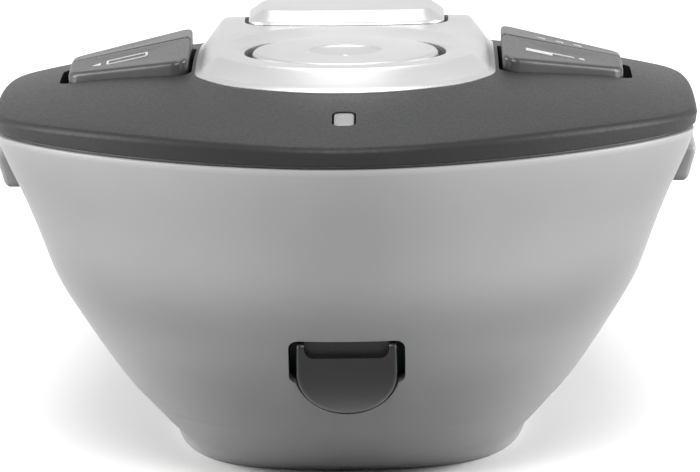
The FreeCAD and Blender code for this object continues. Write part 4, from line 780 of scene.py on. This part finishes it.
ARROW_HEAD = [(-21.3, -37.9), (-21.3, -36.9), (-22.1, -37.4)]
MARKS = {
    ("front", -1): frame_bars(-19.0, -37.4, 3.4, 1.5, 0.2) + [ARROW_HEAD],
    ("front", 1): [bar(16.8, -38.7, 2.3, 1.0), bar(18.9, -38.2, 1.9, 0.25), circle(20.5, -38.2, 0.25, 12)],
    ("rear", -1): [],
    ("rear", 1): [circle(x, -30.2, 0.36) for x in (17.1, 18.7, 20.3)],
}
for row in ("front", "rear"):
    for side, name in ((-1, "left"), (1, "right")):
        key = key_skin(row, side)
        node = "key_%s_%s" % (row, name)
        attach(key, node + "_body")
        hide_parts(node)
        tell(key)
        for k, outline in enumerate(MARKS[row, side]):
            printed = mark("mark_%s_%s_%d" % (row, name, k), row, outline)
            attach(printed, node + "_body")
print("marks", sum(len(shapes) for shapes in MARKS.values()))

# %% [markdown]
# ## Light window
# The window is the end of a small clear pipe over a lamp. It could be a patch of another
# material on the cover. It is its own closed skin with a rounded edge, flush with the crown,
# because a real gap and edge catch the light as in the photograph.

# %% Light window
WINDOW_FOOT = 29.4
outline = window_outline(0.0)
rows = [np.column_stack([outline, np.full(len(outline), WINDOW_FOOT)])]
for inset, depth in ((0.0, 0.2), (0.05, 0.1), (0.14, 0.06)):
    outline = window_outline(-inset)
    rows.append(np.column_stack([outline, crown(outline[:, 0], outline[:, 1]) - depth]))
window = shell("window", np.array(rows), SOFT_ANGLE)
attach(window, "housing")
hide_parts("led_window")
tell(window)

# %% [markdown]
# ## Trigger
# The trigger is a black lever under the nose with a hollow for the fingertip. It could be a
# bent box. Its front view is a U, drawn in ring by ring over a rolled edge, and each point's
# depth is the face's side profile: upright at the brow, then an arc of 12 mm to the lip. Both
# views are then exact. A rounded pocket is cut under the brow.

# %% Trigger
TRIGGER_HALF, TRIGGER_TOP, TRIGGER_CORNER = 4.25, 15.2, 0.3
TRIGGER_BACK, TRIGGER_ROLL, TRIGGER_AIM = -55.9, 0.4, 12.3
BROW_HEIGHT, BROW_FACE = 13.9, -61.6
ARC_PLACE, ARC_HEIGHT, ARC_RADIUS = -50.44, 18.31, 12.0
POCKET_HALF, POCKET_TOP, POCKET_CORNER, POCKET_RUN = 3.6, 17.5, 0.8, (-66.0, -60.1)


def trigger_outline(inset):
    """Front view: straight top and sides, half round below."""
    half, top, small = TRIGGER_HALF - inset, TRIGGER_TOP - inset, TRIGGER_CORNER
    angle = np.linspace(math.pi, 2 * math.pi, 52)
    low = np.column_stack([half * np.cos(angle), TRIGGER_MIDDLE + half * np.sin(angle)])
    right = np.column_stack([np.full(8, half), np.linspace(TRIGGER_MIDDLE, top - small, 9)[1:]])
    turn = np.linspace(0, math.pi / 2, 5)[1:]
    corner = np.column_stack([half - small + small * np.cos(turn), top - small + small * np.sin(turn)])
    level = np.column_stack([np.linspace(half - small, small - half, 18)[1:-1], np.full(16, top)])
    left = np.vstack([corner[::-1], right[::-1]]) * (-1, 1)
    return np.vstack([low, right, corner, level, left])


def trigger_face(z):
    """Depth of the face at a height: upright at the brow, an arc below it."""
    rise = z - ARC_HEIGHT
    arc = ARC_PLACE - np.sqrt(np.maximum(ARC_RADIUS ** 2 - rise ** 2, 0.1))
    return np.where(z > BROW_HEIGHT, BROW_FACE, arc)


def trigger_skin():
    """Rings from the back plane over the rolled edge, then inward on the face."""
    outline = trigger_outline(0.0)
    rows = [np.column_stack([outline[:, 0], np.full(len(outline), TRIGGER_BACK), outline[:, 1]])]
    for angle in np.linspace(0, math.pi / 2, 7):
        outline = trigger_outline(TRIGGER_ROLL * (1 - math.cos(angle)))
        depth = trigger_face(outline[:, 1]) + TRIGGER_ROLL * (1 - math.sin(angle))
        rows.append(np.column_stack([outline[:, 0], depth, outline[:, 1]]))
    rim = rows[-1]
    for share in np.linspace(0, 0.95, 16)[1:]:
        x = rim[:, 0] * (1 - share)
        z = rim[:, 2] * (1 - share) + TRIGGER_AIM * share
        rows.append(np.column_stack([x, trigger_face(z), z]))
    return shell("trigger_lever", np.array(rows), USUAL_ANGLE)


trigger = trigger_skin()
pocket = rounded_outline(rectangle(-POCKET_HALF, POCKET_HALF, BROW_HEIGHT, POCKET_TOP), POCKET_CORNER)
carve(trigger, [polygon_bar("CutScoop", pocket, *POCKET_RUN, "Y")], "DIFFERENCE", USUAL_ANGLE)
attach(trigger, "trigger_body")
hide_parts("trigger")
tell(trigger)

# %% [markdown]
# ## Flank keys
# A grey push key stands in each flank, with a face that continues the hull. It could be a box
# with a curved front. Each is a patch of the outer form pushed proud, with rolled edges, so
# that its face runs almost parallel to the hull and stands a little more upright.

# %% Flank keys
FLANK_FRONT, FLANK_BACK, FLANK_LOW, FLANK_HIGH, FLANK_RISE = -44.0, -28.0, 25.8, 29.0, 3.2
FLANK_CORNER, FLANK_ROLL, FLANK_DEPTH = 0.6, 0.45, 2.4
PROUD_LOW, PROUD_LOSS = 1.6, 0.6


def proud(z):
    """How far the key's face stands out of the flank: more at its lower edge."""
    return PROUD_LOW - PROUD_LOSS * (z - FLANK_LOW) / FLANK_RISE


def flank_outline(inset):
    """Outline of the face in (along, up), drawn in by an inset, its corner radii by half of it."""
    low, high = FLANK_FRONT + inset, FLANK_BACK - inset
    corners = rectangle(low, high, FLANK_LOW + inset, FLANK_HIGH - inset)
    return rounded_outline(corners, FLANK_CORNER - inset / 2, 0.0, 5, 14)


def flank_x(y, z, inset):
    """Half width of the outer form at a place along the body, found by halving."""
    low, high = (0.3, 1.0) if y < float(level_numbers(np.array(z))[2]) else (1.0, 1.9)
    for _ in range(30):
        middle = (low + high) / 2
        if float(hull_xy(np.array(middle), np.array(z), inset)[1]) < y:
            low = middle
        else:
            high = middle
    return float(hull_xy(np.array(low), np.array(z), inset)[0])


def flank_skin(name, side):
    """Rings in (along, up) on the flank; each point is the outer form pushed out or in."""
    outline = flank_outline(0.0)
    rows = [(outline, np.full(len(outline), FLANK_DEPTH)), (outline, FLANK_ROLL - proud(outline[:, 1]))]
    for angle in np.linspace(0, math.pi / 2, 7)[1:]:
        outline = flank_outline(FLANK_ROLL * (1 - math.cos(angle)))
        rows.append((outline, FLANK_ROLL * (1 - math.sin(angle)) - proud(outline[:, 1])))
    rim = rows[-1][0]
    middle = np.column_stack([rim[:, 0], np.full(len(rim), (FLANK_LOW + FLANK_HIGH) / 2)])
    for share in np.linspace(0, 0.92, 6)[1:]:
        outline = rim * (1 - share) + middle * share
        rows.append((outline, -proud(outline[:, 1])))
    grid = []
    for outline, inset in rows:
        y, z = outline[:, 0], outline[:, 1]
        x = np.array([flank_x(v, w, i) for v, w, i in zip(y, z, inset)])
        grid.append(np.column_stack([side * x, y, z]))
    return shell(name, np.array(grid), SOFT_ANGLE)


for name, side in (("left", -1), ("right", 1)):
    flank = flank_skin("flank_" + name, side)
    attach(flank, "side_key_%s_body" % name)
    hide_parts("side_key_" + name)
    tell(flank)

# %% [markdown]
# ## Materials
# Moulded plastic has a fine grain, and its colour and gloss drift a little. Flat colours would
# look like paint, and images would need a mapping. Two noises in object space are used
# instead, a coarse one for the colour, a fine one for roughness and height. They sit in a
# group that gives only varying values, so the constants stay on the shader.

# %% Node groups
DRIFT_SCALE, DRIFT_DETAIL, GRAIN_DETAIL, GRAIN_ROUGHNESS = 60.0, 3.0, 2.0, 0.6
# Most values of a noise lie between these, so they are stretched to the full range
NOISE_LOW, NOISE_HIGH, HEIGHT_LOW, HEIGHT_HIGH = 0.3, 0.7, 0.2, 0.8
BUMP_DISTANCE = 0.00005


def new_group(name, outputs):
    """A node group with named outputs, together with its nodes, links and output node."""
    group = bpy.data.node_groups.new(name, "ShaderNodeTree")
    for label, kind in outputs:
        group.interface.new_socket(label, in_out="OUTPUT", socket_type=kind)
    return group, group.nodes, group.links, group.nodes.new("NodeGroupOutput")


def noise(nodes, links, coords, scale, detail, rough=0.5):
    """A noise in object space at a scale."""
    node = nodes.new("ShaderNodeTexNoise")
    node.inputs["Scale"].default_value = scale
    node.inputs["Detail"].default_value = detail
    node.inputs["Roughness"].default_value = rough
    links.new(coords.outputs["Object"], node.inputs["Vector"])
    return node.outputs["Fac"]


def ramp(nodes, links, value, low, high, out_low, out_high):
    """A value mapped from one range to another along a straight line."""
    node = nodes.new("ShaderNodeMapRange")
    for label, number in (("From Min", low), ("From Max", high), ("To Min", out_low), ("To Max", out_high)):
        node.inputs[label].default_value = number
    links.new(value, node.inputs["Value"])
    return node.outputs["Result"]


def tint(nodes, links, value, dark, light):
    """A colour between two colours, mixed by a value."""
    node = nodes.new("ShaderNodeMix")
    node.data_type = "RGBA"
    node.inputs["A"].default_value = (*dark, 1)
    node.inputs["B"].default_value = (*light, 1)
    links.new(value, node.inputs["Factor"])
    return node.outputs["Result"]


def moulded(name, dark, light, grain_scale, rough_low, rough_high):
    """Colour drift, roughness drift and a grain height for one moulded plastic."""
    outputs = (("Color", "NodeSocketColor"), ("Roughness", "NodeSocketFloat"), ("Height", "NodeSocketFloat"))
    group, nodes, links, out = new_group(name, outputs)
    coords = nodes.new("ShaderNodeTexCoord")
    drift = noise(nodes, links, coords, DRIFT_SCALE, DRIFT_DETAIL)
    fine = noise(nodes, links, coords, grain_scale, GRAIN_DETAIL, GRAIN_ROUGHNESS)
    share = ramp(nodes, links, drift, NOISE_LOW, NOISE_HIGH, 0, 1)
    links.new(tint(nodes, links, share, dark, light), out.inputs["Color"])
    gloss = ramp(nodes, links, fine, NOISE_LOW, NOISE_HIGH, rough_low, rough_high)
    links.new(gloss, out.inputs["Roughness"])
    links.new(ramp(nodes, links, fine, HEIGHT_LOW, HEIGHT_HIGH, 0.0, 1.0), out.inputs["Height"])
    return group


def material(name, group, metallic=0.0, specular=0.5, bump=0.25, transmission=0.0):
    """A shader whose varying inputs come from a group and whose constants are its own."""
    mat = bpy.data.materials.new(name)
    mat.use_nodes = True
    nodes, links = mat.node_tree.nodes, mat.node_tree.links
    shader = nodes["Principled BSDF"]
    shader.inputs["Metallic"].default_value = metallic
    shader.inputs["Specular IOR Level"].default_value = specular
    shader.inputs["Transmission Weight"].default_value = transmission
    node = nodes.new("ShaderNodeGroup")
    node.node_tree = group
    links.new(node.outputs["Color"], shader.inputs["Base Color"])
    links.new(node.outputs["Roughness"], shader.inputs["Roughness"])
    bump_node = nodes.new("ShaderNodeBump")
    bump_node.inputs["Strength"].default_value = bump
    bump_node.inputs["Distance"].default_value = BUMP_DISTANCE
    links.new(node.outputs["Height"], bump_node.inputs["Height"])
    links.new(bump_node.outputs["Normal"], shader.inputs["Normal"])
    return mat


def grey(value, warm=0.0):
    """A grey, with a little more red and less blue where it is warm."""
    return (value * (1 + warm), value, value * (1 - warm))


# %% [markdown]
# ## One material for every slot
# Every piece names the slot of its finish, such as grey hull or silver plate. Each piece could
# have a material of its own. One material for a slot keeps the pieces of one finish alike,
# and the rows of one table show how the finishes differ.

# %% One material for every slot
# Each row: slot, material, group, dark and light colour, grain scale, roughness from and to,
# and what the shader has of its own
MATERIAL_ROWS = (
    ("hull_grey", "hull_grey_mat", "HullGrain", grey(0.325), grey(0.355), 5200, 0.38, 0.46,
     {"specular": 0.45, "bump": 0.06}),
    ("cover_charcoal", "cover_mat", "CoverGrain", grey(0.009, -0.03), grey(0.012, -0.03), 3600, 0.42, 0.55,
     {"specular": 0.24, "bump": 0.3}),
    ("plate_silver", "plate_mat", "PlateGrain", grey(0.46), grey(0.54), 6500, 0.30, 0.40,
     {"metallic": 0.85, "bump": 0.05}),
    ("key_dark", "key_mat", "KeyGrain", grey(0.016, -0.02), grey(0.021, -0.02), 4200, 0.30, 0.40,
     {"specular": 0.5, "bump": 0.12}),
    ("trigger_black", "trigger_mat", "TriggerGrain", grey(0.004), grey(0.007), 4000, 0.28, 0.38,
     {"specular": 0.28, "bump": 0.10}),
    ("lens_clear", "lens_mat", "LensGrain", grey(0.18), grey(0.21), 900, 0.35, 0.4,
     {"transmission": 0.1, "bump": 0.02}),
    ("lamp_white", "lamp_mat", "LampGrain", grey(0.7), grey(0.8), 3000, 0.3, 0.4, {}),
    ("board_green", "board_mat", "BoardGrain", (0.01, 0.10, 0.04), (0.015, 0.14, 0.05), 900, 0.3, 0.45, {}),
    ("part_black", "part_mat", "PartGrain", grey(0.015), grey(0.022), 5000, 0.4, 0.6, {}),
    ("steel", "steel_mat", "SteelGrain", grey(0.50), grey(0.60), 2500, 0.25, 0.4, {"metallic": 1.0}),
    ("ceramic_white", "ceramic_mat", "CeramicGrain", grey(0.6, 0.02), grey(0.7, 0.02), 2500, 0.3, 0.5, {}),
    ("inner_white", "inner_mat", "InnerGrain", grey(0.5, 0.02), grey(0.56, 0.02), 2600, 0.45, 0.6, {}),
    ("cell_jacket", "jacket_mat", "JacketGrain", (0.03, 0.05, 0.09), (0.04, 0.065, 0.11), 800, 0.2, 0.3,
     {"metallic": 0.3}),
    ("print_white", "print_mat", "PrintGrain", grey(0.38), grey(0.45), 5000, 0.45, 0.6, {}),
)
MATERIALS = {}
for slot, name, group, dark, light, scale, rough_low, rough_high, own in MATERIAL_ROWS:
    MATERIALS[slot] = material(name, moulded(group, dark, light, scale, rough_low, rough_high), **own)
SLOTS = {entry["node"]: entry["material_slot"] for entry in frame["record"]["subparts"]}
PREFIX_SLOTS = (("key_", "key_dark"), ("flank_", "hull_grey"), ("mark_", "print_white"))


def dress(obj, slot):
    """Gives a piece one slot's material in place of what it had."""
    obj.data.materials.clear()
    obj.data.materials.append(MATERIALS[slot])


for node, obj in frame["nodes"].items():
    dress(obj, SLOTS[node])
for piece, slot in ((hull, "hull_grey"), (door, "hull_grey"), (cover, "cover_charcoal"),
                    (plate, "plate_silver"), (disk, "plate_silver"), (rear_key, "plate_silver"),
                    (window, "lens_clear"), (trigger, "trigger_black")):
    dress(piece, slot)
# The hull's second slot is black: painted shade on the lap tongue in the gap under the cover
hull.data.materials.append(MATERIALS["part_black"])
for obj in bpy.data.objects:
    for prefix, slot in PREFIX_SLOTS:
        if obj.type == "MESH" and obj.name.startswith(prefix) and obj.name not in SLOTS:
            dress(obj, slot)
print("materials", len(MATERIALS))

# %% [markdown]
# ## Floor and background
# The photograph has a white ground that fades into a white background. A curved backdrop could
# give it. A flat floor under an even background does the same from this place. Both look
# white to the camera and are darker for other rays, because the real studio was dark at the
# sides.

# %% Floor and background
FLOOR_HALF, FLOOR_FRONT, FLOOR_BACK = 900, -900, 620
FLOOR_ROUGHNESS, FLOOR_SHINE, FLOOR_DARK, FLOOR_LIGHT, BACKGROUND_DIM = 0.8, 0.2, 0.07, 0.92, 0.32
corners = [(x, y, 0) for x, y in rectangle(-FLOOR_HALF, FLOOR_HALF, FLOOR_FRONT, FLOOR_BACK)]
floor = make_object("floor", corners, [(0, 1, 2, 3)])
floor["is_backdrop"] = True


def seen_rays(nodes, links):
    """One where a ray comes from the camera, a mirror or clear plastic, otherwise nought."""
    path = nodes.new("ShaderNodeLightPath")
    value = path.outputs["Is Camera Ray"]
    for label in ("Is Glossy Ray", "Is Transmission Ray"):
        step = nodes.new("ShaderNodeMath")
        step.operation = "MAXIMUM"
        links.new(value, step.inputs[0])
        links.new(path.outputs[label], step.inputs[1])
        value = step.outputs["Value"]
    return value


floor_mat = bpy.data.materials.new("floor_mat")
floor_mat.use_nodes = True
nodes, links = floor_mat.node_tree.nodes, floor_mat.node_tree.links
shade = nodes["Principled BSDF"]
shade.inputs["Roughness"].default_value = FLOOR_ROUGHNESS
shade.inputs["Specular IOR Level"].default_value = FLOOR_SHINE
ground = tint(nodes, links, seen_rays(nodes, links), grey(FLOOR_DARK), grey(FLOOR_LIGHT))
links.new(ground, shade.inputs["Base Color"])
floor.data.materials.append(floor_mat)

world = bpy.data.worlds.new("Studio")
bpy.context.scene.world = world
world.use_nodes = True
nodes, links = world.node_tree.nodes, world.node_tree.links
background = nodes["Background"]
strength = ramp(nodes, links, seen_rays(nodes, links), 0, 1, BACKGROUND_DIM, 1.0)
links.new(strength, background.inputs["Strength"])
background.inputs["Color"].default_value = (1, 1, 1, 1)
print("floor %d mm wide" % (2 * FLOOR_HALF))

# %% [markdown]
# ## Lamps
# The light is soft and even, with bright edges on the flanks. A picture of a room could light
# the scene, but four lamps are easier to set: two large ones at the sides, one in front and a
# weak one above the deck. Each is turned to its target by a matrix of three axes.

# %% Lamps
BODY_MIDDLE, DECK_MIDDLE = (0, -0.03, 0.02), (0, -0.02, 0.02)
LAMPS = (
    ("LampFront", (0.0, -0.90, 0.75), BODY_MIDDLE, (0.5, 0.4), 11.5),
    ("LampLeft", (-0.80, -0.05, 0.28), BODY_MIDDLE, (0.4, 0.6), 8.5),
    ("LampRight", (0.80, -0.05, 0.28), BODY_MIDDLE, (0.4, 0.6), 9.5),
    ("LampTop", (0.0, 0.25, 0.9), DECK_MIDDLE, (0.42, 0.6), 3.2),
)


def turned(right, up, back, place):
    """The matrix of an object whose own axes point right, up and back."""
    rows = np.column_stack([right, up, back, place]).tolist()
    return Matrix(rows + [[0, 0, 0, 1]])


def lamp(name, place, target, size, power):
    """A rectangular lamp at a place, turned to a target, of a size in metres."""
    data = bpy.data.lights.new(name, "AREA")
    data.shape = "RECTANGLE"
    data.size, data.size_y = size
    data.energy = power
    obj = bpy.data.objects.new(name, data)
    bpy.context.scene.collection.objects.link(obj)
    place, target = np.array(place), np.array(target)
    back = (place - target) / np.linalg.norm(place - target)
    side = np.cross((0, 0, 1), back)
    side /= np.linalg.norm(side)
    obj.matrix_world = turned(side, np.cross(back, side), back, place)
    print("%s: %.1f W" % (name, power))


for row in LAMPS:
    lamp(*row)

# %% [markdown]
# ## Camera
# The photograph was taken from in front of the nose, 10 degrees above it, with a narrow view.
# The camera could be placed by eye. Its turn, height and distance are named values that were
# fitted to the outline, and a shift moves the picture without bending it.

# %% Camera
ELEVATION, YAW, ROLL = math.radians(10.2), math.radians(0.5), math.radians(0.65)
DISTANCE, TARGET = 0.700, np.array((0.0, -0.040, 0.018))
SENSOR, VIEW_WIDTH = 36.0, 0.0609
PIXELS, SHIFT_X, SHIFT_Y = 700, 2.2, 29.5
back = np.array((math.sin(YAW) * math.cos(ELEVATION), -math.cos(YAW) * math.cos(ELEVATION),
                 math.sin(ELEVATION)))
right = np.array((math.cos(YAW), math.sin(YAW), 0.0))
up = np.cross(back, right)
right, up = (right * math.cos(ROLL) - up * math.sin(ROLL), right * math.sin(ROLL) + up * math.cos(ROLL))
camera_data = bpy.data.cameras.new("Camera")
camera = bpy.data.objects.new("Camera", camera_data)
bpy.context.scene.collection.objects.link(camera)
camera.matrix_world = turned(right, up, back, TARGET + DISTANCE * back)
camera_data.sensor_width = SENSOR
camera_data.sensor_fit = "HORIZONTAL"
camera_data.lens = SENSOR * DISTANCE / VIEW_WIDTH
camera_data.shift_x = SHIFT_X / PIXELS
camera_data.shift_y = SHIFT_Y / PIXELS
camera_data.clip_start = 0.01
bpy.context.scene.camera = camera
bpy.context.scene.view_settings.view_transform = "Standard"
print("camera lens %.1f mm" % camera_data.lens)

# %% [markdown]
# ## Count and size
# The model has to be as large as the real thing and no heavier than it must be. Both could be
# read off the screen. They are written out, so that they can be compared with the solids.

# %% Count and size
total = 0
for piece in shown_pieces():
    count = len(piece.data.polygons) if piece.type == "MESH" else 0
    total += count
    print("%-24s %6d faces" % (piece.name, count))
print("faces in all", total)
